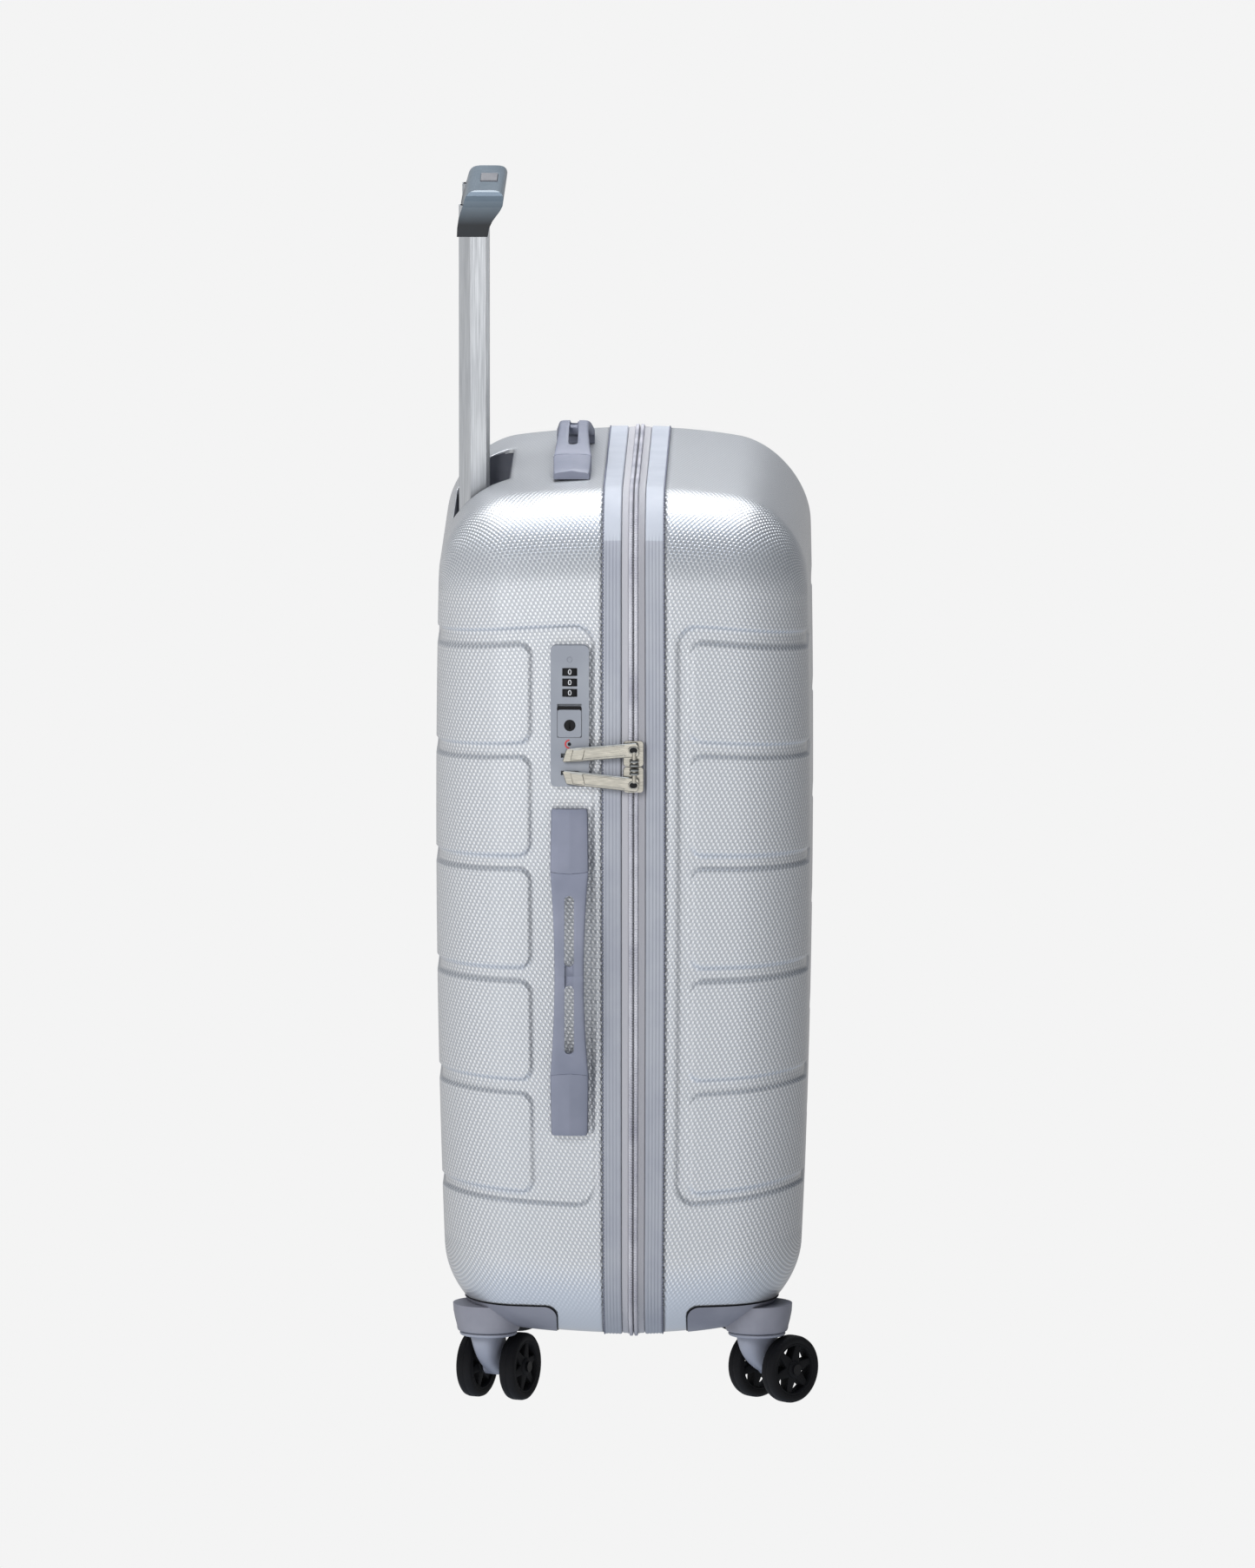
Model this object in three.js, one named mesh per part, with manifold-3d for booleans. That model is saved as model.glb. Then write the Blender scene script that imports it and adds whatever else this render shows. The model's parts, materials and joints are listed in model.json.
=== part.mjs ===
// Hard shell suitcase on four twin casters, with a two stage pull handle.
// Millimetres. +X is the front (lid) face, -X the pull handle face, -Y the
// side with the lock and the carry handle, +Z up. The origin is on the floor,
// in the middle of the case's footprint.
import * as THREE from 'three';
import { mergeVertices } from 'three/addons/utils/BufferGeometryUtils.js';
import Module from 'manifold-3d';

const wasm = await Module();
wasm.setup();

// ---------------------------------------------------------------- dimensions

const gap = 0.3; // between parts that touch
const caseShift = 9; // the case stands this far to +Y, to centre its handles too

// the two shells
const backX = -137; // flat face of the back shell
const frontX = 136.6; // flat face of the front shell
const partingX = 8.3; // plane where the case opens
const caseWidth = 450;
const caseBottom = 51.5;
const caseTop = 678;
const cornerRadius = 65; // round the corners of the side faces
const edgeRadius = 54; // round the edges of the front and back faces
const backCrown = 6e-4; // sides fall away from the parting plane by crown * distance^2
const frontCrown = 1e-3;
const faceCrownZ = caseTop - 245; // front and back faces fall away from here
const faceInset = 8.73; // as far as this at the bottom
const faceCrown = faceInset / (faceCrownZ - caseBottom) ** 2;
const shellWall = 4;

// raised pads with channels round them
const recessDepth = 2.5;
const recessBottom = 155;
const recessTop = caseTop - 97;
const recessRadius = 15;
const backRecessX = -21; // edge of the recess nearest to the parting band
const frontRecessX = 41;
const backPadX = -67.5;
const frontPadX = 50;
const padHeight = 74;
const padPitch = 84;
const padRadius = 9;
const firstPadZ = 162.5;
const padCount = Math.floor((recessTop - firstPadZ + padPitch - padHeight) / padPitch);
const channelReach = 118; // channels stop this far from the middle of each face

// band along the parting plane
const backTrimX = [-14.6, -0.6];
const frontTrimX = [17.2, 31.2];
const trimProud = 1;
const trimDepth = 4.5;
const tapeProud = 0.2;
const tapeDepth = 2;
const coilWidth = 3.5; // each half of the zip chain
const coilProud = 2.4;

// casters
const wheelRadius = 25;
const wheelRoom = 1.5; // between a wheel's top and the lowest part of the case
const wheelWidth = 13;
const wheelOffset = 17.5; // middle of each wheel from the swivel axis
const wheelFacets = 16;
const tyreRounding = 2.5;
const webThickness = 7;
const rimThickness = 5.5;
const axleRadius = 2.4;
const axleHeadRadius = 4;
const axleHead = 1.2;
const trail = 17;
const swivelY = 165;
const swivelBackX = -99;
const swivelFrontX = 98;
const forkWidth = 18;
const forkBoss = 8;
const flangeRadius = 21;
const flangeThickness = 2;
const stemRadius = 6;
const stemLength = 23;
const turretRadius = 25;
const turretTop = 75.5;
const guardReach = 50.5; // of the corner guard from the swivel axis
const guardTop = 77.5;
const guardProud = 1.2;
const guardWall = 3.5;
const guardCorner = 24;
const rise = 2 * wheelRadius + wheelRoom - caseBottom; // lifts the case onto its wheels

// pull handle
const tubeSpacing = 132;
const tubeBackX = -122;
const tubeFrontX = -102;
const tubeWidth = 14;
const tubeChamferX = 8.5;
const tubeChamferY = 5;
const tubeWall = 1;
const tubeClearance = 0.35;
const gripBottom = caseTop + 173; // with the handle at its first stop
const gripTop = gripBottom + 34;
const gripHalfLength = 80;
const gripSocket = 22;
const gripOpening = [48, 16]; // half length and height of the finger gap
const pocketFloor = caseTop - 58;
const pocketBackX = -125.8;
const pocketFrontBottomX = -94;
const pocketFrontTopX = -83;
const pocketHalfLength = 84;
const pocketWall = 2.5;
const innerTubeLow = pocketFloor - 60; // foot of the inner tubes
const midTubeLow = pocketFloor - 295;
const collarHeight = 4;
const bracketZ = [104, 114];
const releaseButton = [12, 44, 7]; // X, Y and Z size
const releaseProud = 0.8;
const releaseX = -101;

// lock
const lockX = [-52.2, -24.2];
const lockTop = caseTop - 108.2;
const lockZ = [lockTop - 104.2, lockTop];
const lockFront = caseWidth / 2 + 1.4; // distance of its face from the middle plane
const lockBack = caseWidth / 2 - 22;
const lockRadius = 4;
const dialRadius = 11;
const dialHeight = 5;
const dialProud = 1.2;
const dialZs = [lockTop - 19.5, lockTop - 27.2, lockTop - 34.9];
const dialClearance = 0.4;
const buttonX = [-47.1, -29.9];
const buttonZ = [lockTop - 67.5, lockTop - 47.3];
const buttonTravel = 4;
const buttonDepth = 2.5;
const buttonProud = 0.8;
const keyRadius = 4;
const keyZ = lockTop - 58.8;
const slotZs = [lockTop - 81.1, lockTop - 93.9];
const slotSize = [13, 3.2];

// zip sliders and their pulls
const sliderWidth = 14;
const sliderLength = 18.6;
const sliderThickness = 2.2;
const sliderNose = 7;
const sliderMeetingZ = lockTop - 88.8;
const sliderLift = 0.4; // above the zip chain
const pinRadius = 1.2;
const pinHeight = 5.6; // above the slider's underside
const knuckleRadius = 2.4;
const knuckleLength = 6;
const pullLength = 54;
const pullWidth = 8.4;
const pullThickness = 1.8;
const pullSlant = 8 * Math.PI / 180; // in the side face
const pullTilt = 5 * Math.PI / 180; // towards the case
const pinOffsetX = 1;

// carry handles
const handleLength = 241;
const handleWidth = 28;
const handleWaist = 21.5;
const handleCapLength = 45;
const handleCapEnd = 6.5; // height of a cap's outer end
const handleSeam = 12.4; // height where cap and grip meet
const handleRise = 25.5; // height of the middle of the grip
const handleThickness = 7;
const handleSlot = [117, 7];
const handleWeb = 14;
const handleX = -38.5; // middle of both carry handles
const sideHandleZ = lockZ[0] - 16.6 - handleLength / 2;

// lining
const liningThickness = 1.2;
const liningGap = 1.6;
const liningBackX = -93;

// ------------------------------------------------------------------- colours

const finish = (color, roughness, metalness) =>
  new THREE.MeshStandardMaterial({ color, roughness, metalness });
const shellFinish = finish(0xc3c7cb, 0.45, 0.1);
const trimFinish = finish(0xa4a6b0, 0.55, 0);
const tapeFinish = finish(0xbebfc1, 0.9, 0);
const liningFinish = finish(0x6c717c, 0.95, 0);
const guardFinish = finish(0x686871, 0.5, 0);
const wheelFinish = finish(0x101016, 0.6, 0);
const forkFinish = finish(0x565a63, 0.45, 0);
const tubeFinish = finish(0xbfc4cc, 0.3, 0.9);
const gripFinish = finish(0x8b959d, 0.3, 0);
const lockFinish = finish(0x969ba0, 0.4, 0.3);
const darkFinish = finish(0x17181b, 0.4, 0);
const handleFinish = finish(0x868b9b, 0.5, 0);
const pullFinish = finish(0xbebcaf, 0.3, 1);
const steelFinish = finish(0x8f9196, 0.35, 1);

// ------------------------------------------------------------------- helpers

const halfWidth = caseWidth / 2;
const halfHeight = (caseTop - caseBottom) / 2;
const middleZ = (caseTop + caseBottom) / 2;
const far = 400; // past every face of the case

// a closed geometry as a solid that can be joined and cut
function solid(geometry) {
  const plain = geometry.clone();
  plain.deleteAttribute('normal');
  plain.deleteAttribute('uv');
  const merged = mergeVertices(plain, 1e-4);
  return new wasm.Manifold(new wasm.Mesh({
    numProp: 3,
    vertProperties: new Float32Array(merged.attributes.position.array),
    triVerts: new Uint32Array(merged.index.array),
  }));
}

function geometryOf(body) {
  const mesh = body.getMesh();
  const geometry = new THREE.BufferGeometry();
  geometry.setAttribute('position', new THREE.BufferAttribute(mesh.vertProperties, 3));
  geometry.setIndex(new THREE.BufferAttribute(mesh.triVerts, 1));
  geometry.computeVertexNormals();
  return geometry;
}

const join = (first, ...others) => others.reduce((sum, other) => sum.add(other), first);
const cut = (first, ...others) => others.reduce((rest, other) => rest.subtract(other), first);
const common = (first, ...others) => others.reduce((both, other) => both.intersect(other), first);

function block(x, y, z) {
  const geometry = new THREE.BoxGeometry(x[1] - x[0], y[1] - y[0], z[1] - z[0]);
  geometry.translate((x[0] + x[1]) / 2, (y[0] + y[1]) / 2, (z[0] + z[1]) / 2);
  return solid(geometry);
}

// a cut along nearly parallel faces can leave slivers: the piece itself is the largest body
function largest(body) {
  return body.decompose().reduce((best, other) => (other.volume() > best.volume() ? other : best));
}

const slab = (x0, x1) => block([x0, x1], [-far, far], [-far, 3 * far]);

function extruded(shape, length, basis, origin, curveSegments = 4) {
  const geometry = new THREE.ExtrudeGeometry(shape, { depth: length, bevelEnabled: false, curveSegments });
  geometry.applyMatrix4(basis);
  geometry.translate(...origin);
  return solid(geometry);
}

const alongX = new THREE.Matrix4().makeBasis(
  new THREE.Vector3(0, 1, 0), new THREE.Vector3(0, 0, 1), new THREE.Vector3(1, 0, 0));
const alongMinusY = new THREE.Matrix4().makeBasis(
  new THREE.Vector3(1, 0, 0), new THREE.Vector3(0, 0, 1), new THREE.Vector3(0, -1, 0));
const alongZ = new THREE.Matrix4();

// a prism whose outline lies in the XZ plane, from y0 to y1
const prismY = (shape, y0, y1, segments) =>
  extruded(shape, y1 - y0, alongMinusY, [0, y1, 0], segments);
const prismZ = (shape, z0, z1, segments) =>
  extruded(shape, z1 - z0, alongZ, [0, 0, z0], segments);
const prismX = (shape, x0, x1, segments) =>
  extruded(shape, x1 - x0, alongX, [x0, 0, 0], segments);

function roundedRectangle(u, v, radius) {
  const shape = new THREE.Shape();
  shape.moveTo(u[0] + radius, v[0]);
  shape.lineTo(u[1] - radius, v[0]);
  shape.absarc(u[1] - radius, v[0] + radius, radius, -Math.PI / 2, 0);
  shape.lineTo(u[1], v[1] - radius);
  shape.absarc(u[1] - radius, v[1] - radius, radius, 0, Math.PI / 2);
  shape.lineTo(u[0] + radius, v[1]);
  shape.absarc(u[0] + radius, v[1] - radius, radius, Math.PI / 2, Math.PI);
  shape.lineTo(u[0], v[0] + radius);
  shape.absarc(u[0] + radius, v[0] + radius, radius, Math.PI, Math.PI * 1.5);
  return shape;
}

// a round bar between two points of one axis
function bar(axis, radius, from, to, centre, sides = 16) {
  const geometry = new THREE.CylinderGeometry(radius, radius, to - from, sides);
  if (axis === 'x') geometry.rotateZ(Math.PI / 2);
  if (axis === 'z') geometry.rotateX(Math.PI / 2);
  const place = { x: [0, centre[0], centre[1]], y: [centre[0], 0, centre[1]], z: [centre[0], centre[1], 0] }[axis];
  place['xyz'.indexOf(axis)] = (from + to) / 2;
  geometry.translate(...place);
  return solid(geometry);
}

// the same outline with every side moved outwards
function offsetOutline(points, distance) {
  return points.map((point, i) => {
    const before = points[(i + points.length - 1) % points.length];
    const after = points[(i + 1) % points.length];
    const first = point.clone().sub(before).normalize();
    const second = after.clone().sub(point).normalize();
    const firstOut = new THREE.Vector2(first.y, -first.x);
    const secondOut = new THREE.Vector2(second.y, -second.x);
    const corner = firstOut.clone().add(secondOut);
    return point.clone().add(corner.multiplyScalar(distance / (1 + firstOut.dot(secondOut))));
  });
}

const model = new THREE.Group();
model.position.y = caseShift;
model.position.z = rise;

function add(name, shape, material, parent = model) {
  const mesh = new THREE.Mesh(shape.isBufferGeometry ? shape : geometryOf(shape), material);
  mesh.name = name;
  parent.add(mesh);
  return mesh;
}

// --------------------------------------------------------------- case bodies

// how finely a closed case is divided: round its corners, along its long sides, from
// back to front, and round its edges. The bands and the lining need less than the shells.
const fine = { arc: 5, side: 4, depth: 3, edge: 4 };
const plain = { arc: 4, side: 2, depth: 2, edge: 2 };

// outline of the side faces, with points along its long sides so that it can be crowned
function caseOutline(inset, division) {
  const w = halfWidth - inset;
  const h = halfHeight - inset;
  const r = cornerRadius - inset;
  const points = [];
  const corners = [[w - r, h - r, 0], [r - w, h - r, 1], [r - w, r - h, 2], [w - r, r - h, 3]];
  for (const [cy, cz, quarter] of corners) {
    for (let i = 0; i <= division.arc; i += 1) {
      const angle = (quarter + i / division.arc) * Math.PI / 2;
      points.push(new THREE.Vector2(cy + r * Math.cos(angle), cz + r * Math.sin(angle)));
    }
    const rising = quarter === 3;
    if (quarter === 1 || rising) {
      for (let i = 1; i < division.side; i += 1) {
        const z = (h - r) * (1 - 2 * i / division.side);
        points.push(new THREE.Vector2(rising ? w : -w, rising ? -z : z));
      }
    }
  }
  return points;
}

// the whole closed case, shrunk by inset on every side
function caseSolid(inset, division = fine) {
  const edge = edgeRadius - inset;
  const geometry = new THREE.ExtrudeGeometry(new THREE.Shape(caseOutline(inset, division)), {
    depth: frontX - backX - 2 * edgeRadius,
    steps: division.depth,
    bevelThickness: edge,
    bevelSize: edge,
    bevelOffset: -edge,
    bevelSegments: division.edge,
  });
  geometry.applyMatrix4(alongX);
  geometry.translate(backX + edgeRadius, 0, 0);
  const position = geometry.attributes.position;
  for (let i = 0; i < position.count; i += 1) {
    const fromParting = position.getX(i) - partingX;
    const fall = (fromParting < 0 ? backCrown : frontCrown) * fromParting ** 2;
    const y = position.getY(i) * (1 - fall / halfWidth);
    const z = middleZ + position.getZ(i) * (1 - fall / halfHeight);
    const faceFall = faceCrown * (z - faceCrownZ) ** 2;
    position.setXYZ(i, position.getX(i) * (1 - faceFall / frontX), y, z);
  }
  return solid(geometry);
}

const outside = caseSolid(0);
const inside = caseSolid(shellWall);

// distance of the side face from the middle plane at x
const sideAt = (x) => halfWidth - (x < partingX ? backCrown : frontCrown) * (x - partingX) ** 2;
const topAt = (x) => caseTop - (x < partingX ? backCrown : frontCrown) * (x - partingX) ** 2;

// channels round the five pads, on one shell: side is -1 for the back, 1 for the front
function padChannels(side, recessX, padX) {
  const outward = side * far;
  const span = (x) => (side < 0 ? [outward, x] : [x, outward]);
  const region = roundedRectangle(span(recessX), [recessBottom, recessTop], recessRadius);
  let channels = prismY(region, -far, far, 2);
  for (let i = 0; i < padCount; i += 1) {
    const low = firstPadZ + i * padPitch;
    const pad = roundedRectangle(span(padX), [low, low + padHeight], padRadius);
    channels = cut(channels, prismY(pad, -far - 1, far + 1, 2));
  }
  const middle = block([-far, far], [-channelReach, channelReach], [-far, 3 * far]);
  return cut(channels, middle, caseSolid(recessDepth));
}

// corner of the case that a caster's guard replaces, grown by clearance
function guardCornerPrism(sx, sy, clearance, top) {
  const swivelX = sx < 0 ? swivelBackX : swivelFrontX;
  const reach = guardReach + clearance;
  const innerX = swivelX - sx * reach;
  const innerY = sy * (swivelY - reach);
  const x = sx < 0 ? [-far, innerX] : [innerX, far];
  const y = sy < 0 ? [-far, innerY] : [innerY, far];
  return prismZ(roundedRectangle(x, y, guardCorner), 0, top, 4);
}

const corners = [
  ['rear_right', -1, -1], ['rear_left', -1, 1], ['front_right', 1, -1], ['front_left', 1, 1],
];
const cornersOf = (side) => corners.filter(([, sx]) => sx === side);

// pocket that the pull handle's grip sinks into
function pocketSolid(grow, floor) {
  const shape = new THREE.Shape([
    new THREE.Vector2(pocketBackX - grow, floor),
    new THREE.Vector2(pocketFrontBottomX + grow, floor),
    new THREE.Vector2(pocketFrontTopX + grow, caseTop),
    new THREE.Vector2(pocketFrontTopX + grow, caseTop + far),
    new THREE.Vector2(pocketBackX - grow, caseTop + far),
  ]);
  return prismY(shape, -pocketHalfLength - grow, pocketHalfLength + grow);
}

const lockOutline = (grow) => roundedRectangle(
  [lockX[0] - grow, lockX[1] + grow], [lockZ[0] - grow, lockZ[1] + grow], lockRadius);

function backShell() {
  const walls = common(cut(outside, inside), slab(-far, backTrimX[0] - gap));
  return largest(cut(
    walls,
    padChannels(-1, backRecessX, backPadX),
    pocketSolid(pocketWall + gap, pocketFloor - pocketWall - gap),
    prismY(lockOutline(gap), -far, -lockBack),
    ...cornersOf(-1).map(([, sx, sy]) => guardCornerPrism(sx, sy, gap, guardTop + gap)),
  ));
}

function frontShell() {
  const walls = common(cut(outside, inside), slab(frontTrimX[1] + gap, far));
  return largest(cut(
    walls,
    padChannels(1, frontRecessX, frontPadX),
    ...cornersOf(1).map(([, sx, sy]) => guardCornerPrism(sx, sy, gap, guardTop + gap)),
  ));
}

function band(proud, depth, x0, x1) {
  return common(cut(caseSolid(-proud, plain), caseSolid(depth, plain)), slab(x0, x1));
}

const liningOut = shellWall + liningGap;
const liningIn = liningOut + liningThickness;

function liningBack() {
  const tray = common(caseSolid(liningOut, plain), slab(liningBackX, backTrimX[0] - gap));
  const room = common(caseSolid(liningIn, plain), slab(liningBackX + liningThickness, far));
  return cut(
    tray,
    room,
    pocketSolid(pocketWall + 1, pocketFloor - pocketWall - 1),
    prismY(lockOutline(1), -far, -lockBack + 1),
    ...cornersOf(-1).map(([, sx, sy]) => guardCornerPrism(sx, sy, 1, turretTop + 2)),
  );
}

function liningFront() {
  const tray = common(caseSolid(liningOut, plain), slab(frontTrimX[1] + gap, far));
  return cut(
    tray,
    caseSolid(liningIn, plain),
    ...cornersOf(1).map(([, sx, sy]) => guardCornerPrism(sx, sy, 1, turretTop + 2)),
  );
}

add('back_shell', backShell(), shellFinish);
add('front_shell', frontShell(), shellFinish);
add('trim_back', band(trimProud, trimDepth, ...backTrimX), trimFinish);
add('trim_front', band(trimProud, trimDepth, ...frontTrimX), trimFinish);
const backCoilX = [partingX - gap / 2 - coilWidth, partingX - gap / 2];
const frontCoilX = [partingX + gap / 2, partingX + gap / 2 + coilWidth];
// each half of the zip is its tape with its row of teeth along the edge
add('zip_back', join(
  band(coilProud, tapeDepth, ...backCoilX),
  band(tapeProud, tapeDepth, backTrimX[1] + gap, backCoilX[0] + 1)), tapeFinish);
add('zip_front', join(
  band(coilProud, tapeDepth, ...frontCoilX),
  band(tapeProud, tapeDepth, frontCoilX[1] - 1, frontTrimX[0] - gap)), tapeFinish);
add('lining_back', liningBack(), liningFinish);
add('lining_front', liningFront(), liningFinish);

// ------------------------------------------------------------------- casters

const flangeTop = 2 * wheelRadius + 0.8 + flangeThickness;
const turretBottom = flangeTop + 0.4 - rise;

function casterHousing(sx, sy) {
  const centre = [sx < 0 ? swivelBackX : swivelFrontX, sy * swivelY];
  const skin = cut(caseSolid(-guardProud), caseSolid(guardWall));
  const corner = guardCornerPrism(sx, sy, 0, guardTop);
  const plate = common(caseSolid(gap), block([-far, far], [-far, far], [turretBottom, turretBottom + guardWall]));
  const turret = bar('z', turretRadius, turretBottom, turretTop, centre, 20);
  const sweep = bar('z', guardReach - gap, -10, turretBottom, centre, 20);
  const bore = bar('z', stemRadius + gap, -rise, flangeTop + stemLength + 1 - rise, centre);
  return cut(join(common(join(skin, plate), corner), turret), sweep, bore);
}

// fork seen from the side: trail runs along +X, the axle lies across it
function casterFork() {
  const arm = new THREE.Shape();
  const flangeUnder = flangeTop - flangeThickness;
  arm.moveTo(-flangeRadius + 5, flangeUnder + 0.5);
  arm.quadraticCurveTo(-flangeRadius + 6, wheelRadius + 8, trail - forkBoss * 0.8, wheelRadius - forkBoss * 0.6);
  arm.absarc(trail, wheelRadius, forkBoss, Math.PI * 1.2, Math.PI * 2.15);
  arm.quadraticCurveTo(trail + 5, flangeUnder - 10, trail - 2, flangeUnder + 0.5);
  const body = prismY(arm, -forkWidth / 2, forkWidth / 2, 3);
  const flange = bar('z', flangeRadius, flangeUnder, flangeTop, [0, 0]);
  const stem = bar('z', stemRadius, flangeTop - 1, flangeTop + stemLength, [0, 0]);
  const boss = bar('y', forkBoss * 0.7, -wheelOffset + wheelWidth / 2 + 0.6, wheelOffset - wheelWidth / 2 - 0.6,
    [trail, wheelRadius]);
  const axleHole = bar('y', axleRadius + gap, -forkWidth, forkWidth, [trail, wheelRadius], 12);
  return cut(join(body, flange, stem, boss), axleHole);
}

// half section of a wheel, turned about its axle; a facet lies flat on the floor
function casterWheel() {
  const facetRadius = wheelRadius / Math.cos(Math.PI / wheelFacets);
  const half = wheelWidth / 2;
  const bore = axleRadius + gap;
  const rimInside = wheelRadius - rimThickness;
  const section = [
    [bore, -webThickness / 2], [rimInside, -half], [facetRadius - tyreRounding, -half],
    [facetRadius, -half + tyreRounding], [facetRadius, half - tyreRounding],
    [facetRadius - tyreRounding, half], [rimInside, half], [bore, webThickness / 2],
    [bore, -webThickness / 2],
  ].map(([radius, along]) => new THREE.Vector2(radius, along));
  const geometry = new THREE.LatheGeometry(section, wheelFacets);
  geometry.rotateY(Math.PI / wheelFacets);
  return solid(geometry);
}

function casterAxle() {
  const end = wheelOffset + wheelWidth / 2 + gap;
  const shaft = bar('y', axleRadius, -end, end, [trail, wheelRadius], 12);
  const heads = [-1, 1].map((side) => {
    const span = [side * (end - 0.01), side * (end + axleHead)].sort((a, b) => a - b);
    return bar('y', axleHeadRadius, ...span, [trail, wheelRadius], 16);
  });
  return join(shaft, ...heads);
}

// the way each caster trails at rest, in the plan
const trailAngles = { rear_right: 65, rear_left: 0, front_right: 45, front_left: 180 };
const degree = Math.PI / 180;

for (const [corner, sx, sy] of corners) {
  add(`caster_housing_${corner}`, casterHousing(sx, sy), guardFinish);
  const swivel = new THREE.Group();
  swivel.position.set(sx < 0 ? swivelBackX : swivelFrontX, sy * swivelY, -rise);
  swivel.rotation.z = trailAngles[corner] * degree;
  model.add(swivel);
  add(`caster_fork_${corner}`, casterFork(), forkFinish, swivel);
  add(`caster_axle_${corner}`, casterAxle(), steelFinish, swivel);
  for (const [side, name] of [[1, 'a'], [-1, 'b']]) {
    const wheel = add(`wheel_${corner}_${name}`, casterWheel(), wheelFinish, swivel);
    wheel.position.set(trail, side * wheelOffset, wheelRadius);
  }
}

// --------------------------------------------------------------- pull handle

// section of the inner tube; its outer back corner is chamfered
function tubeSection(side, grow) {
  const out = tubeWidth / 2;
  const points = [
    [tubeBackX + tubeChamferX, -out], [tubeFrontX, -out], [tubeFrontX, out], [tubeBackX, out],
    [tubeBackX, -out + tubeChamferY],
  ].map(([x, y]) => new THREE.Vector2(x, y));
  const grown = offsetOutline(points, grow);
  const placed = grown.map((point) => new THREE.Vector2(point.x, side * (tubeSpacing / 2 - point.y)));
  return side < 0 ? placed : placed.reverse();
}

function tube(side, grow, z0, z1) {
  const hole = new THREE.Shape(tubeSection(side, grow - tubeWall));
  const outer = new THREE.Shape(tubeSection(side, grow));
  return cut(prismZ(outer, z0, z1), prismZ(hole, z0 - 1, z1 + 1));
}

const midGrow = tubeClearance + tubeWall;
const outerGrow = 2 * midGrow;
const sides = [['right', -1], ['left', 1]];

// side profile of the grip, leaning forwards towards its top
function gripProfile() {
  const shape = new THREE.Shape();
  shape.moveTo(tubeBackX - 1.3, gripBottom);
  shape.lineTo(tubeFrontX + 1.3, gripBottom);
  shape.bezierCurveTo(tubeFrontX + 2, gripBottom + 15, tubeFrontX + 13.5, gripTop - 17, tubeFrontX + 13, gripTop - 6);
  shape.quadraticCurveTo(tubeFrontX + 12.5, gripTop, tubeFrontX + 5, gripTop);
  shape.lineTo(tubeBackX + 14, gripTop);
  shape.quadraticCurveTo(tubeBackX + 6.5, gripTop, tubeBackX + 4.5, gripTop - 6);
  shape.bezierCurveTo(tubeBackX + 2, gripTop - 17, tubeBackX - 1.3, gripBottom + 15, tubeBackX - 1.3, gripBottom);
  return shape;
}

const releaseSpan = (axis, centre, clearance) => [
  centre - releaseButton[axis] / 2 - clearance, centre + releaseButton[axis] / 2 + clearance,
];

function grip() {
  const ends = new THREE.Shape();
  const [openHalf, openHeight] = gripOpening;
  const shoulder = 14;
  ends.moveTo(-gripHalfLength + 2, gripBottom - 1);
  ends.lineTo(-openHalf, gripBottom - 1);
  ends.lineTo(-openHalf, gripBottom + openHeight - shoulder);
  ends.absarc(-openHalf + shoulder, gripBottom + openHeight - shoulder, shoulder, Math.PI, Math.PI / 2, true);
  ends.lineTo(openHalf - shoulder, gripBottom + openHeight);
  ends.absarc(openHalf - shoulder, gripBottom + openHeight - shoulder, shoulder, Math.PI / 2, 0, true);
  ends.lineTo(openHalf, gripBottom - 1);
  ends.lineTo(gripHalfLength - 2, gripBottom - 1);
  ends.lineTo(gripHalfLength, gripTop - 12);
  ends.quadraticCurveTo(gripHalfLength, gripTop + 1, gripHalfLength - 12, gripTop + 1);
  ends.lineTo(-gripHalfLength + 12, gripTop + 1);
  ends.quadraticCurveTo(-gripHalfLength, gripTop + 1, -gripHalfLength, gripTop - 12);
  const body = common(
    prismY(gripProfile(), -gripHalfLength - 1, gripHalfLength + 1, 6),
    prismX(ends, tubeBackX - 30, tubeFrontX + 40, 5),
  );
  const sockets = sides.map(([, side]) =>
    prismZ(new THREE.Shape(tubeSection(side, gap)), gripBottom - 1, gripBottom + gripSocket + gap));
  const buttonWell = block(
    releaseSpan(0, releaseX, gap), releaseSpan(1, 0, gap),
    [gripTop + releaseProud - releaseButton[2] - buttonTravel - gap, gripTop + far],
  );
  return cut(body, ...sockets, buttonWell);
}

function trolleyBezel() {
  const tray = common(caseSolid(gap), pocketSolid(pocketWall, pocketFloor - pocketWall));
  const holes = sides.map(([, side]) =>
    prismZ(new THREE.Shape(tubeSection(side, midGrow + gap)), pocketFloor - 10, pocketFloor + 10));
  return cut(tray, pocketSolid(0, pocketFloor), ...holes);
}

add('trolley_bezel', trolleyBezel(), gripFinish);
// ties the feet of the outer tubes together and follows the inside of the shell
add('trolley_foot_bracket', common(caseSolid(shellWall + gap, plain), block(
  [tubeBackX - outerGrow, tubeFrontX + outerGrow],
  [-tubeSpacing / 2 - tubeWidth / 2 - outerGrow, tubeSpacing / 2 + tubeWidth / 2 + outerGrow], bracketZ)), darkFinish);
for (const [name, side] of sides) {
  add(`trolley_outer_tube_${name}`, tube(side, outerGrow, bracketZ[1] + gap, pocketFloor - pocketWall - gap), tubeFinish);
  add(`trolley_mid_tube_${name}`, tube(side, midGrow, midTubeLow, pocketFloor - collarHeight), tubeFinish);
  add(`trolley_mid_collar_${name}`, tube(side, midGrow, pocketFloor - collarHeight + gap, pocketFloor + gap), darkFinish);
  add(`trolley_inner_tube_${name}`, tube(side, 0, innerTubeLow, gripBottom + gripSocket), tubeFinish);
}
add('trolley_grip', grip(), gripFinish);
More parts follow.
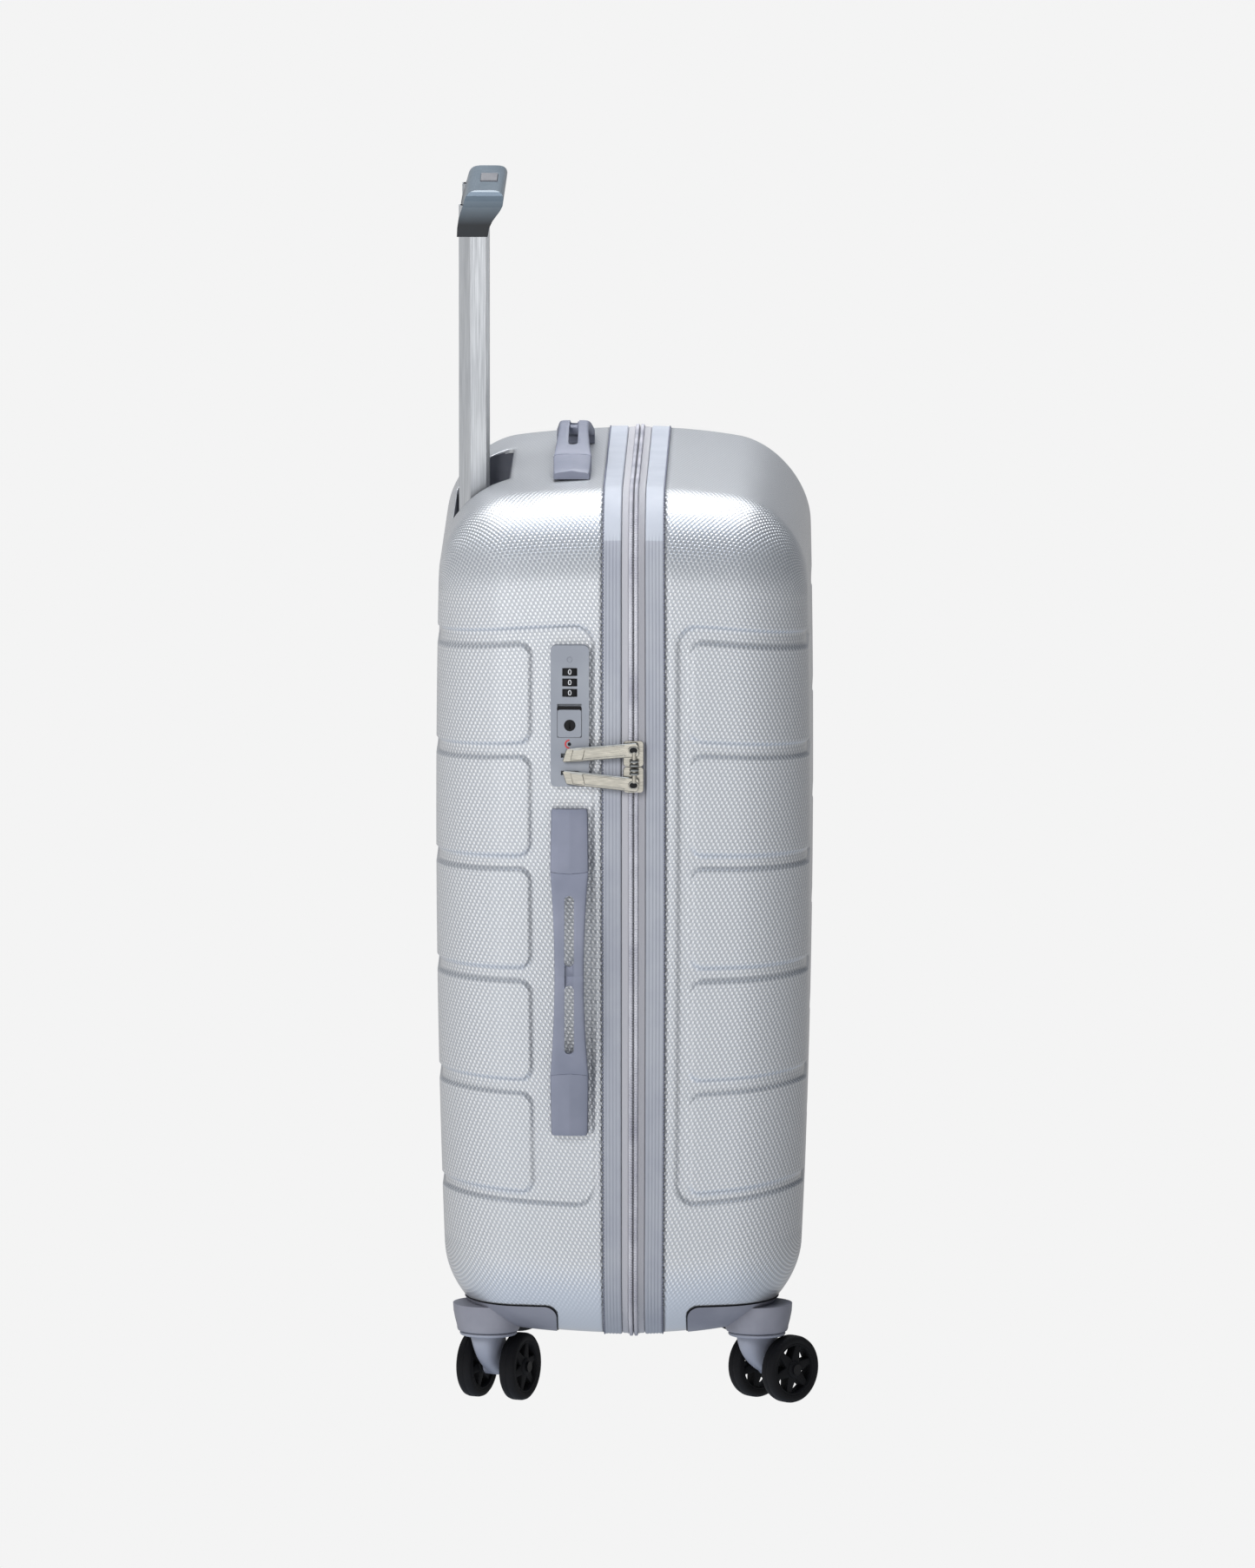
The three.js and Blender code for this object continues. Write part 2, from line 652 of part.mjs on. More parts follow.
add('trolley_release_button', block(
  releaseSpan(0, releaseX, 0), releaseSpan(1, 0, 0),
  [gripTop + releaseProud - releaseButton[2], gripTop + releaseProud]), darkFinish);

// ---------------------------------------------------------------------- lock

const lockMiddle = (lockX[0] + lockX[1]) / 2;
const dialCentre = lockFront + dialProud - dialRadius;

function lockCase() {
  const body = prismY(lockOutline(0), -lockFront, -lockBack, 3);
  const dialWells = dialZs.map((z) => bar('z', dialRadius + dialClearance,
    z - dialHeight / 2 - dialClearance, z + dialHeight / 2 + dialClearance, [lockMiddle, -dialCentre]));
  const buttonWell = block(
    [buttonX[0] - gap, buttonX[1] + gap], [-far, -lockFront + buttonDepth],
    [buttonZ[0] - gap, buttonZ[1] + buttonTravel + gap]);
  const slots = slotZs.map((z) => block(
    [lockMiddle - slotSize[0] / 2, lockMiddle + slotSize[0] / 2], [-far, -lockFront + 4],
    [z - slotSize[1] / 2, z + slotSize[1] / 2]));
  return cut(body, ...dialWells, buttonWell, ...slots);
}

function lockButton() {
  const depth = [-lockFront - buttonProud, -lockFront + buttonDepth - gap];
  const plate = prismY(roundedRectangle(buttonX, buttonZ, 1.5), ...depth, 2);
  return cut(plate, bar('y', keyRadius + gap, -far, far, [lockMiddle, keyZ]));
}

function keyCylinder() {
  const plug = bar('y', keyRadius, -lockFront - buttonProud - 0.2, -lockFront + buttonDepth - gap, [lockMiddle, keyZ]);
  return cut(plug, block([lockMiddle - 0.6, lockMiddle + 0.6], [-far, -lockFront + 1], [keyZ - 2.4, keyZ + 2.4]));
}

add('lock_case', lockCase(), lockFinish);
add('lock_button', lockButton(), lockFinish);
add('lock_key_cylinder', keyCylinder(), darkFinish);
dialZs.forEach((z, i) => {
  add(`lock_dial_${i + 1}`, bar('z', dialRadius, z - dialHeight / 2, z + dialHeight / 2,
    [lockMiddle, -dialCentre], 20), darkFinish);
});

// --------------------------------------------------------------- zip sliders

const chainTop = halfWidth + coilProud;
const sliderUnder = chainTop + sliderLift;
const pinY = -(sliderUnder + pinHeight);
const pinX = partingX + pinOffsetX;

// direction is 1 for the upper slider and -1 for the lower one
function slider(direction) {
  const near = sliderMeetingZ + direction * gap;
  const end = near + direction * sliderLength;
  const half = sliderWidth / 2;
  const outline = new THREE.Shape([
    new THREE.Vector2(partingX - sliderNose / 2, near),
    new THREE.Vector2(partingX + sliderNose / 2, near),
    new THREE.Vector2(partingX + half, near + direction * sliderNose),
    new THREE.Vector2(partingX + half, end),
    new THREE.Vector2(partingX - half, end),
    new THREE.Vector2(partingX - half, near + direction * sliderNose),
  ]);
  const body = prismY(outline, -sliderUnder - sliderThickness, -sliderUnder);
  const lug = 2;
  const lugs = [-1, 1].map((side) => {
    const middle = pullZ(direction) + side * (knuckleLength / 2 + gap + lug / 2);
    return block([pinX - pinRadius - 0.8, pinX + pinRadius + 0.8],
      [pinY - pinRadius - 0.8, -sliderUnder - 1], [middle - lug / 2, middle + lug / 2]);
  });
  const pinHalf = knuckleLength / 2 + gap + lug / 2;
  const pin = bar('z', pinRadius, pullZ(direction) - pinHalf, pullZ(direction) + pinHalf, [pinX, pinY], 10);
  return join(body, ...lugs, pin);
}

const pullZ = (direction) => sliderMeetingZ + direction * (gap + sliderLength - 6);

function pull(direction) {
  const outline = new THREE.Shape();
  const half = pullWidth / 2;
  const bevel = half * 0.8;
  outline.moveTo(-1, -knuckleLength / 2);
  outline.lineTo(-7, -half);
  outline.lineTo(-pullLength + bevel * 0.7, -half);
  outline.lineTo(-pullLength, -half + bevel);
  outline.lineTo(-pullLength, half - bevel);
  outline.lineTo(-pullLength + bevel * 0.7, half);
  outline.lineTo(-7, half);
  outline.lineTo(-1, knuckleLength / 2);
  const geometry = new THREE.ExtrudeGeometry(outline, { depth: pullThickness, bevelEnabled: false });
  geometry.applyMatrix4(alongMinusY);
  geometry.translate(0, pullThickness / 2, 0);
  geometry.rotateY(-direction * pullSlant);
  geometry.rotateZ(-pullTilt);
  geometry.translate(pinX, pinY, pullZ(direction));
  const middle = pullZ(direction);
  const ends = [middle - knuckleLength / 2, middle + knuckleLength / 2];
  const knuckle = bar('z', knuckleRadius, ...ends, [pinX, pinY], 16);
  const bore = bar('z', pinRadius + gap, middle - far, middle + far, [pinX, pinY], 16);
  const besideKnuckle = cut(block([pinX - 3, far], [-far, far], [0, far * 2]), block([-far, far], [-far, far], ends));
  const blade = cut(solid(geometry), besideKnuckle);
  return cut(join(blade, knuckle), bore);
}

for (const [name, direction] of [['upper', 1], ['lower', -1]]) {
  add(`zip_slider_${name}`, slider(direction), steelFinish);
  add(`zip_pull_${name}`, pull(direction), pullFinish);
}

// ------------------------------------------------------------- carry handles

// drawn with its length along X, its width along Y and its height along Z
const capInnerX = handleLength / 2 - handleCapLength;

function handleCap(side) {
  const profile = new THREE.Shape([
    new THREE.Vector2(capInnerX, 0),
    new THREE.Vector2(handleLength / 2, 0),
    new THREE.Vector2(handleLength / 2, handleCapEnd),
    new THREE.Vector2(capInnerX, handleSeam),
  ]);
  const plan = roundedRectangle([0, handleLength / 2], [-handleWidth / 2, handleWidth / 2], 3);
  const cap = common(prismY(profile, -far, far), prismZ(plan, -1, far, 2));
  return side > 0 ? cap : cap.rotate([0, 0, 180]);
}

// height of the grip's top above the case, a parabola between the seams
function handleGrip() {
  const reach = capInnerX - gap;
  const steps = 8;
  const top = [];
  const under = [];
  for (let i = 0; i <= steps; i += 1) {
    const x = reach * (2 * i / steps - 1);
    const height = handleRise - (handleRise - handleSeam) * (x / reach) ** 2;
    top.push(new THREE.Vector2(x, height));
    under.push(new THREE.Vector2(x, height - handleThickness));
  }
  const profile = new THREE.Shape([...under, ...top.reverse()]);
  const plan = new THREE.Shape();
  const half = handleWidth / 2;
  const waistPull = handleWaist - half;
  plan.moveTo(-reach - 1, -half);
  plan.quadraticCurveTo(0, -waistPull, reach + 1, -half);
  plan.lineTo(reach + 1, half);
  plan.quadraticCurveTo(0, waistPull, -reach - 1, half);
  const slots = [-1, 1].map((side) => {
    const ends = [side * handleWeb / 2, side * handleSlot[0] / 2].sort((a, b) => a - b);
    return prismZ(roundedRectangle(ends, [-handleSlot[1] / 2, handleSlot[1] / 2], 3), -1, far, 2);
  });
  return cut(common(prismY(profile, -far, far), prismZ(plan, -1, far, 6)), ...slots);
}

const handleParts = [
  ['upper', handleCap(1)], ['lower', handleCap(-1)], ['grip', handleGrip()],
];

// side handle: length runs up, height points to -Y
const sideHandle = new THREE.Group();
sideHandle.setRotationFromMatrix(new THREE.Matrix4().makeBasis(
  new THREE.Vector3(0, 0, 1), new THREE.Vector3(1, 0, 0), new THREE.Vector3(0, 1, 0)));
sideHandle.rotateX(Math.PI);
sideHandle.position.set(handleX, -sideAt(handleX + handleWidth / 2) + recessDepth - gap, sideHandleZ);
model.add(sideHandle);

// top handle: length runs across the case
const topHandle = new THREE.Group();
topHandle.rotation.z = Math.PI / 2;
topHandle.position.set(handleX, 0, topAt(handleX + handleWidth / 2) + gap);
model.add(topHandle);

for (const [name, shape] of handleParts) {
  add(`side_handle_${name === 'grip' ? name : `cap_${name}`}`, shape, handleFinish, sideHandle);
  const topName = { upper: 'cap_left', lower: 'cap_right', grip: 'grip' }[name];
  add(`top_handle_${topName}`, shape, handleFinish, topHandle);
}

export default model;
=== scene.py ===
import json
import math

import bmesh
import bpy
import numpy as np
from mathutils import Matrix, Vector


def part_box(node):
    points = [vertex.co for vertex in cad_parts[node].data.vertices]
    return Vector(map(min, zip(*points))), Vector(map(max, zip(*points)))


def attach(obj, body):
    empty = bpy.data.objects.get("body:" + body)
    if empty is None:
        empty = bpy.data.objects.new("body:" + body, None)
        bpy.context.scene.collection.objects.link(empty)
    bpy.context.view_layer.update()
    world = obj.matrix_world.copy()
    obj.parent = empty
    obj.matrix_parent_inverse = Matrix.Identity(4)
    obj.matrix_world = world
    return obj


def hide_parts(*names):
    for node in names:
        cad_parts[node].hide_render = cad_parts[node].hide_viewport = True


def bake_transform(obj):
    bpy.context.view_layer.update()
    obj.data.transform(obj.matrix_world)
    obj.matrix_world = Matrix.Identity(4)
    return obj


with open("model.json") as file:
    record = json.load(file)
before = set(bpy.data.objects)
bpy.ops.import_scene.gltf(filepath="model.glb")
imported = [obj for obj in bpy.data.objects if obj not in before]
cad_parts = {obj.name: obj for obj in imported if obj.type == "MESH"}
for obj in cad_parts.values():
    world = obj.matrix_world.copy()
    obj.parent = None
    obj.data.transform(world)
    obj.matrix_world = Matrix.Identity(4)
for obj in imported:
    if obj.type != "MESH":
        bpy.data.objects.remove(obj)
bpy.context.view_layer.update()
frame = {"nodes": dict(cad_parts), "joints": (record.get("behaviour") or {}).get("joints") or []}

MM = 0.001


def box_mm(node):
    low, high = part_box(node)
    return np.array(low) / MM, np.array(high) / MM


# ------------------------------------------------------------ sizes from the frame

BACK_RIM_X = box_mm("back_shell")[1][0]
FRONT_RIM_X = box_mm("front_shell")[0][0]
LOCK_FACE_Y = box_mm("lock_case")[0][1]
trim_back_low, trim_back_high = box_mm("trim_back")
trim_front_low, trim_front_high = box_mm("trim_front")
zip_back_low, zip_back_high = box_mm("zip_back")
zip_front_low, zip_front_high = box_mm("zip_front")
bezel_low, bezel_high = box_mm("trolley_bezel")

TRIM_PROUD = 1.0
MIDDLE_Y = (trim_back_low[1] + trim_back_high[1]) / 2
PARTING_X = (zip_back_high[0] + zip_front_low[0]) / 2
HALF_WIDTH = 225.0
HALF_HEIGHT = 313.25
MIDDLE_Z = (trim_back_low[2] + trim_back_high[2]) / 2
BACK_FACE_X = -137.0
FRONT_FACE_X = 136.6
CORNER_RADIUS = 65.0
EDGE_RADIUS = 54.0
BACK_CROWN = 6e-4
FRONT_CROWN = 1e-3
FACE_CROWN = 6e-5
FACE_CROWN_Z = 433.0
WALL = 2.6
ABOVE_CASE = 760.0
POCKET_RIM = 2.3

RECESS_DEPTH = 2.5
RECESS_Z = (155.0, 584.5)
RECESS_RADIUS = 15.0
RECESS_X = {-1: -21.0, 1: 41.0}
PAD_X = {-1: -67.5, 1: 50.0}
PAD_RADIUS = 9.0
PAD_HEIGHT = 74.0
PAD_PITCH = 84.0
FIRST_PAD_Z = 162.5
PAD_COUNT = 5
PADS = [(FIRST_PAD_Z + i * PAD_PITCH, FIRST_PAD_Z + i * PAD_PITCH + PAD_HEIGHT) for i in range(PAD_COUNT)]
CHANNEL_REACH = 118.0
EDGE_SOFTNESS = 1.4
FINE_STEP = 1.4
EDGE_STEPS = 24


# ------------------------------------------------------------ node materials

def srgb(red, green, blue):
    values = []
    for value in (red, green, blue):
        share = value / 255
        values.append(share / 12.92 if share <= 0.04045 else ((share + 0.055) / 1.055) ** 2.4)
    return (*values, 1.0)


class Nodes:
    """Short names for building one node tree, of a material or of the world."""

    def __init__(self, owner):
        owner.use_nodes = True
        self.owner = owner
        self.tree = owner.node_tree

    def add(self, kind, **settings):
        node = self.tree.nodes.new(kind)
        for key, value in settings.items():
            setattr(node, key, value)
        return node

    def link(self, source, target):
        self.tree.links.new(source, target)

    def feed(self, socket, value):
        if isinstance(value, bpy.types.NodeSocket):
            self.link(value, socket)
        else:
            socket.default_value = value

    def math(self, operation, first, second=0.0, clamp=False):
        node = self.add("ShaderNodeMath", operation=operation, use_clamp=clamp)
        self.feed(node.inputs[0], first)
        self.feed(node.inputs[1], second)
        return node.outputs[0]

    def object_axes(self):
        node = self.add("ShaderNodeSeparateXYZ")
        self.link(self.add("ShaderNodeTexCoord").outputs["Object"], node.inputs[0])
        return node.outputs

    def noise(self, scale, detail=3.0, stretch=(1, 1, 1)):
        mapping = self.add("ShaderNodeMapping")
        mapping.inputs["Scale"].default_value = stretch
        self.link(self.add("ShaderNodeTexCoord").outputs["Object"], mapping.inputs[0])
        node = self.add("ShaderNodeTexNoise")
        node.inputs["Scale"].default_value = scale
        node.inputs["Detail"].default_value = detail
        self.link(mapping.outputs[0], node.inputs["Vector"])
        return node.outputs[0]

    def blend(self, share, first, second):
        node = self.add("ShaderNodeMix", data_type="RGBA")
        self.feed(node.inputs[0], share)
        self.feed(node.inputs[6], first)
        self.feed(node.inputs[7], second)
        return node.outputs[2]

    def span(self, value, low, high, to_low=0.0, to_high=1.0):
        node = self.add("ShaderNodeMapRange", clamp=True)
        for socket, number in zip(node.inputs, (value, low, high, to_low, to_high)):
            self.feed(socket, number)
        return node.outputs[0]

    def bump(self, height, distance, strength=1.0, under=None):
        node = self.add("ShaderNodeBump")
        node.inputs["Strength"].default_value = strength
        node.inputs["Distance"].default_value = distance
        self.link(height, node.inputs["Height"])
        if under is not None:
            self.link(under, node.inputs["Normal"])
        return node.outputs[0]

    def finish(self, color, roughness, metallic=0.0, normal=None, **sockets):
        """Feeds the shader and gives back the material. A socket's name has _ for each space."""
        inputs = self.tree.nodes["Principled BSDF"].inputs
        self.feed(inputs["Base Color"], color)
        self.feed(inputs["Roughness"], roughness)
        inputs["Metallic"].default_value = metallic
        if normal is not None:
            self.link(normal, inputs["Normal"])
        for name, value in sockets.items():
            inputs[name.replace("_", " ")].default_value = value
        return self.owner


def material_nodes(name):
    return Nodes(bpy.data.materials.new(name))


def shell_material():
    """Pearl silver plastic with an embossed twill of short slanted dashes."""
    n = material_nodes("silver_twill")
    uv = n.add("ShaderNodeSeparateXYZ")
    n.link(n.add("ShaderNodeUVMap", uv_map="weave").outputs[0], uv.inputs[0])
    around, across = uv.outputs[:2]
    turn = 2 * math.pi
    dash_width, dash_length, slant = 3.5, 5.2, 0.30
    lean = n.math("MULTIPLY", around, slant / dash_length)
    slanted = n.math("ADD", n.math("DIVIDE", across, dash_width), lean)
    rows = n.math("DIVIDE", around, dash_length)
    dashes = n.math("MULTIPLY", n.math("SINE", n.math("MULTIPLY", slanted, turn)),
                    n.math("SINE", n.math("MULTIPLY", rows, turn)))
    dashes = n.span(dashes, -0.25, 0.6)
    height_z = n.object_axes()[2]
    shown = n.span(height_z, 0.060, 0.100)
    shown_dashes = n.math("MULTIPLY", dashes, shown)
    pores = n.noise(2400, 2)
    broad = n.noise(9, 2)
    body = n.blend(broad, srgb(203, 205, 207), srgb(196, 198, 201))
    # The pale dash colour is a painted highlight and the darker colour between the dashes is painted
    # shade, laid over the embossed twill.
    color = n.blend(n.math("MULTIPLY", shown_dashes, 0.55), srgb(170, 173, 178), srgb(246, 247, 247))
    color = n.blend(n.math("SUBTRACT", 1.0, shown), color, body)
    normal = n.bump(pores, 0.00003, 0.3)
    normal = n.bump(shown_dashes, 0.00034, 0.9, under=normal)
    roughness = n.span(dashes, 0.0, 1.0, 0.38, 0.28)
    return n.finish(color, roughness, 0.62, normal, Coat_Weight=0.2, Coat_Roughness=0.2)


def plastic_material(name, color, deep, roughness=0.5, grain=1500, depth=0.00003, **sockets):
    """Moulded plastic: fine grain, and slightly uneven colour and polish."""
    n = material_nodes(name)
    patches = n.noise(28, 4)
    shade = n.blend(n.span(patches, 0.35, 0.65), srgb(*color), srgb(*deep))
    rough = n.span(n.noise(60, 3), 0.3, 0.7, roughness - 0.04, roughness + 0.05)
    return n.finish(shade, rough, 0.0, n.bump(n.noise(grain, 2), depth, 0.4), **sockets)


def metal_material(name, color, roughness=0.25, stretch=(40, 40, 1), scale=60, depth=0.00002):
    """Metal with fine streaks along one way and faint smudges."""
    n = material_nodes(name)
    streaks = n.noise(scale, 4, stretch)
    smudges = n.noise(18, 3)
    darker = tuple(value * 0.74 for value in color[:3]) + (1.0,)
    shade = n.blend(n.span(streaks, 0.3, 0.7), color, darker)
    rough = n.math("ADD", n.span(streaks, 0.2, 0.8, roughness - 0.05, roughness + 0.06),
                   n.span(smudges, 0.4, 0.7, 0.0, 0.05))
    return n.finish(shade, rough, 1.0, n.bump(streaks, depth, 0.5))


def tape_material(name, light, dark, pitch=0.0009):
    """Tightly woven narrow tape."""
    n = material_nodes(name)
    x, y, z = n.object_axes()
    turn = 2 * math.pi / pitch
    ribs = n.math("SINE", n.math("MULTIPLY", n.math("ADD", z, y), turn))
    ends = n.math("SINE", n.math("MULTIPLY", x, turn * 1.3))
    weave = n.span(n.math("MULTIPLY", ribs, ends), -1, 1)
    shade = n.blend(weave, srgb(*dark), srgb(*light))
    return n.finish(shade, 0.85, 0.0, n.bump(weave, 0.00012, 0.6), Sheen_Weight=0.3, Sheen_Roughness=0.5)


def grip_material():
    """Pull grip, pale at its top and dark blue grey at its foot: painted light from above on the top and
    painted shade towards the foot.
    """
    n = material_nodes("grip_gloss")
    low, high = box_mm("trolley_grip")
    height = n.object_axes()[2]
    # painted light and shade: the colour runs from dark at the foot to pale at the top
    share = n.span(height, (low[2] + 9) * MM, (high[2] - 5) * MM)
    share = n.math("ADD", share, n.span(n.noise(30, 3), 0.3, 0.7, -0.04, 0.04))
    shade = n.blend(share, srgb(3, 9, 17), srgb(94, 106, 116))
    rough = n.span(n.noise(80, 3), 0.3, 0.7, 0.30, 0.38)
    normal = n.bump(n.noise(900, 2), 0.00001, 0.3)
    return n.finish(shade, rough, 0.25, normal, Coat_Weight=0.1, Coat_Roughness=0.2)


materials = {
    "shell": shell_material(),
    "trim_ribbed": plastic_material("trim_ribbed", (146, 149, 156), (137, 140, 149), 0.55),
    "trim_smooth": plastic_material("trim_smooth", (164, 168, 176), (156, 160, 169), 0.6),
    "stitch": tape_material("stitch_thread", (120, 124, 140), (70, 74, 92), 0.0005),
    "tape": tape_material("zip_tape", (172, 171, 175), (132, 132, 139)),
    "coil": plastic_material("zip_coil", (184, 184, 190), (150, 150, 160), 0.5),
    "guard": plastic_material("guard_plastic", (126, 127, 136), (113, 114, 124), 0.5),
    "fork": plastic_material("fork_plastic", (134, 138, 150), (118, 121, 133), 0.42),
    "tyre": plastic_material("tyre_rubber", (8, 8, 11), (4, 4, 6), 0.7, grain=900, depth=0.00006,
                             Specular_IOR_Level=0.25),
    "handle": plastic_material("handle_plastic", (119, 122, 136), (109, 113, 127), 0.55),
    "lock": plastic_material("lock_plastic", (129, 133, 140), (121, 125, 133), 0.42),
    "black": plastic_material("black_plastic", (12, 12, 15), (6, 6, 8), 0.45, Specular_IOR_Level=0.25),
    "red": plastic_material("red_mark", (190, 60, 62), (160, 44, 48), 0.4),
    "bezel": plastic_material("bezel_plastic", (104, 106, 114), (84, 87, 95), 0.45, grain=260,
                              depth=0.0002),
    "button": plastic_material("button_plastic", (98, 98, 102), (86, 87, 92), 0.5),
    "digit": plastic_material("digit_paint", (196, 197, 199), (180, 181, 184), 0.6),
    "tube": metal_material("tube_aluminium", srgb(186, 189, 193), 0.34, (60, 60, 1), 30),
    "pull": metal_material("pull_nickel", srgb(172, 169, 160), 0.26, (1, 12, 12), 120),
    "grip": grip_material(),
    "lining": tape_material("lining_cloth", (118, 123, 136), (88, 92, 104), 0.0016),
}


# ------------------------------------------------------------ meshes

def new_object(name, data):
    piece = bpy.data.objects.new(name, data)
    bpy.context.scene.collection.objects.link(piece)
    return piece


def band_faces(first, second, count):
    """Faces between two rings of count points whose first points have the numbers first and second."""
    pairs = [(i, (i + 1) % count) for i in range(count)]
    return [(first + i, first + j, second + j, second + i) for i, j in pairs]


def fix_normals(piece):
    work = bmesh.new()
    work.from_mesh(piece.data)
    bmesh.ops.recalc_face_normals(work, faces=work.faces)
    work.to_mesh(piece.data)
    work.free()


def mesh_piece(name, vertices, faces, material, body, uvs=None, smooth=True, replaces=()):
    """A piece from points in millimetres. uvs holds one pair per vertex."""
    mesh = bpy.data.meshes.new(name)
    points = np.asarray(vertices, float) * MM
    mesh.from_pydata([tuple(p) for p in points], [], [tuple(f) for f in faces])
    if uvs is not None:
        layer = mesh.uv_layers.new(name="weave")
        corner = np.zeros(len(mesh.loops), np.int32)
        mesh.loops.foreach_get("vertex_index", corner)
        layer.data.foreach_set("uv", np.asarray(uvs, np.float32)[corner].ravel())
    mesh.polygons.foreach_set("use_smooth", [smooth] * len(mesh.polygons))
    mesh.update()
    piece = new_object(name, mesh)
    dress(piece, material)
    settle(piece, body, replaces)
    return piece


def dress(piece, *names):
    piece.data.materials.clear()
    for name in names:
        piece.data.materials.append(materials[name])


def settle(piece, body, replaces=()):
    if body:
        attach(piece, body)
    if replaces:
        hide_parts(*replaces)


def soften(piece, width, segments=2, angle=30):
    """Rounds the edges of a piece or of a CAD node with a bevel, and shades it smooth."""
    bevel = piece.modifiers.new("edges", "BEVEL")
    bevel.width = width * MM
    bevel.segments = segments
    bevel.limit_method = "ANGLE"
    bevel.angle_limit = math.radians(angle)
    bevel.harden_normals = True
    piece.data.polygons.foreach_set("use_smooth", [True] * len(piece.data.polygons))
    return piece


def crowned(x, y, z):
    """Places a point of the straight sided block on the crowned case. y and z count from its middle."""
    fall = np.where(x < PARTING_X, BACK_CROWN, FRONT_CROWN) * (x - PARTING_X) ** 2
    y = y * (1 - fall / HALF_WIDTH)
    z = MIDDLE_Z + z * (1 - fall / HALF_HEIGHT)
    x = x * (1 - FACE_CROWN * (z - FACE_CROWN_Z) ** 2 / FRONT_FACE_X)
    return np.stack([x, y + MIDDLE_Y, z], axis=-1)


class Outline:
    """The rounded rectangle of the side faces: centres and directions, so that it can be inset."""

    def __init__(self, side_lines, top_lines, arc_steps):
        flat_y = HALF_WIDTH - CORNER_RADIUS
        flat_z = HALF_HEIGHT - CORNER_RADIUS
        centres, ways = [], []
        side = [z for z in side_lines if -flat_z < z < flat_z]
        top = [y for y in top_lines if -flat_y < y < flat_y]
        arcs = [(flat_y, flat_z), (-flat_y, flat_z), (-flat_y, -flat_z), (flat_y, -flat_z)]
        straights = [
            [((y, flat_z), (0, 1)) for y in reversed(top)],
            [((-flat_y, z), (-1, 0)) for z in reversed(side)],
            [((y, -flat_z), (0, -1)) for y in top],
            [((flat_y, z), (1, 0)) for z in side],
        ]
        self.marks = []
        for quarter, ((cy, cz), straight) in enumerate(zip(arcs, straights)):
            self.marks.append(len(centres))
            for step in range(arc_steps + 1):
                angle = (quarter + step / arc_steps) * math.pi / 2
                centres.append((cy, cz))
                ways.append((math.cos(angle), math.sin(angle)))
            for centre, way in straight:
                centres.append(centre)
                ways.append(way)
        self.centres = np.array(centres, float)
        self.ways = np.array(ways, float)
        self.side_count = len(side)
        self.arc_steps = arc_steps
        around = self.at(0)
        steps = np.linalg.norm(np.roll(around, -1, axis=0) - around, axis=1)
        self.length = np.concatenate([[0], np.cumsum(steps)])

    def at(self, inset):
        return self.centres + self.ways * (CORNER_RADIUS - inset)

    def __len__(self):
        return len(self.centres)


def smooth_step(value, low, high):
    share = np.clip((value - low) / (high - low), 0, 1)
    return share * share * (3 - 2 * share)


def rounded_box_distance(x, z, x_span, z_span, radius):
    centre_x, half_x = sum(x_span) / 2, (x_span[1] - x_span[0]) / 2 - radius
    centre_z, half_z = sum(z_span) / 2, (z_span[1] - z_span[0]) / 2 - radius
    out_x = np.abs(x - centre_x) - half_x
    out_z = np.abs(z - centre_z) - half_z
    outside = np.hypot(np.maximum(out_x, 0), np.maximum(out_z, 0))
    return outside + np.minimum(np.maximum(out_x, out_z), 0) - radius


def channel_depth(side, x, y, z):
    """How deep the shell is pressed in at a point of its outer surface."""
    far = 1000.0
    span = (lambda edge: (-far, edge)) if side < 0 else (lambda edge: (edge, far))
    region = rounded_box_distance(x, z, span(RECESS_X[side]), RECESS_Z, RECESS_RADIUS)
    pressed = smooth_step(-region, -EDGE_SOFTNESS, EDGE_SOFTNESS)
    for pad_z in PADS:
        pad = rounded_box_distance(x, z, span(PAD_X[side]), pad_z, PAD_RADIUS)
        pressed = pressed * (1 - smooth_step(-pad, -EDGE_SOFTNESS, EDGE_SOFTNESS))
    ends = smooth_step(np.abs(y), CHANNEL_REACH - 14, CHANNEL_REACH + 8)
    return RECESS_DEPTH * pressed * ends


def lines_between(start, end, dense_spans, dense_step, coarse_step):
    """Grid lines from start to end, close together inside the dense spans."""
    sign = 1 if end > start else -1
    lines, at = [start], start
    while (end - at) * sign > 1e-6:
        inside = any(low - 1e-6 <= at + sign * dense_step / 2 <= high + 1e-6 for low, high in dense_spans)
        at = at + sign * (dense_step if inside else coarse_step)
        if not inside:
            edges = [edge for span in dense_spans for edge in span if (edge - lines[-1]) * sign > 1e-6
                     and (at - edge) * sign > 1e-6]
            if edges:
                at = min(edges, key=lambda edge: abs(edge - lines[-1]))
        if (end - at) * sign < dense_step / 2:
            at = end
        lines.append(at)
    return lines


FLAT_Z = HALF_HEIGHT - CORNER_RADIUS
PAD_EDGES = [edge - MIDDLE_Z for span in (RECESS_Z, *PADS) for edge in span]
PAD_EDGE_SPANS = [(edge - 12, edge + 12) for edge in PAD_EDGES]
SIDE_LINES = lines_between(-FLAT_Z, FLAT_Z, PAD_EDGE_SPANS, FINE_STEP, 7.0)
TOP_LINES = list(np.linspace(-(HALF_WIDTH - CORNER_RADIUS), HALF_WIDTH - CORNER_RADIUS, 25))
shell_outline = Outline(SIDE_LINES, TOP_LINES, 22)


def shell_points(side, block, normal, pressed):
    """Points of the crowned case from a block's points, pressed in along normal where the channels are."""
    if pressed:
        depth = channel_depth(side, block[:, 0], block[:, 1], block[:, 2] + MIDDLE_Z)
        block = block - normal * depth[:, None]
    return crowned(*block.T)


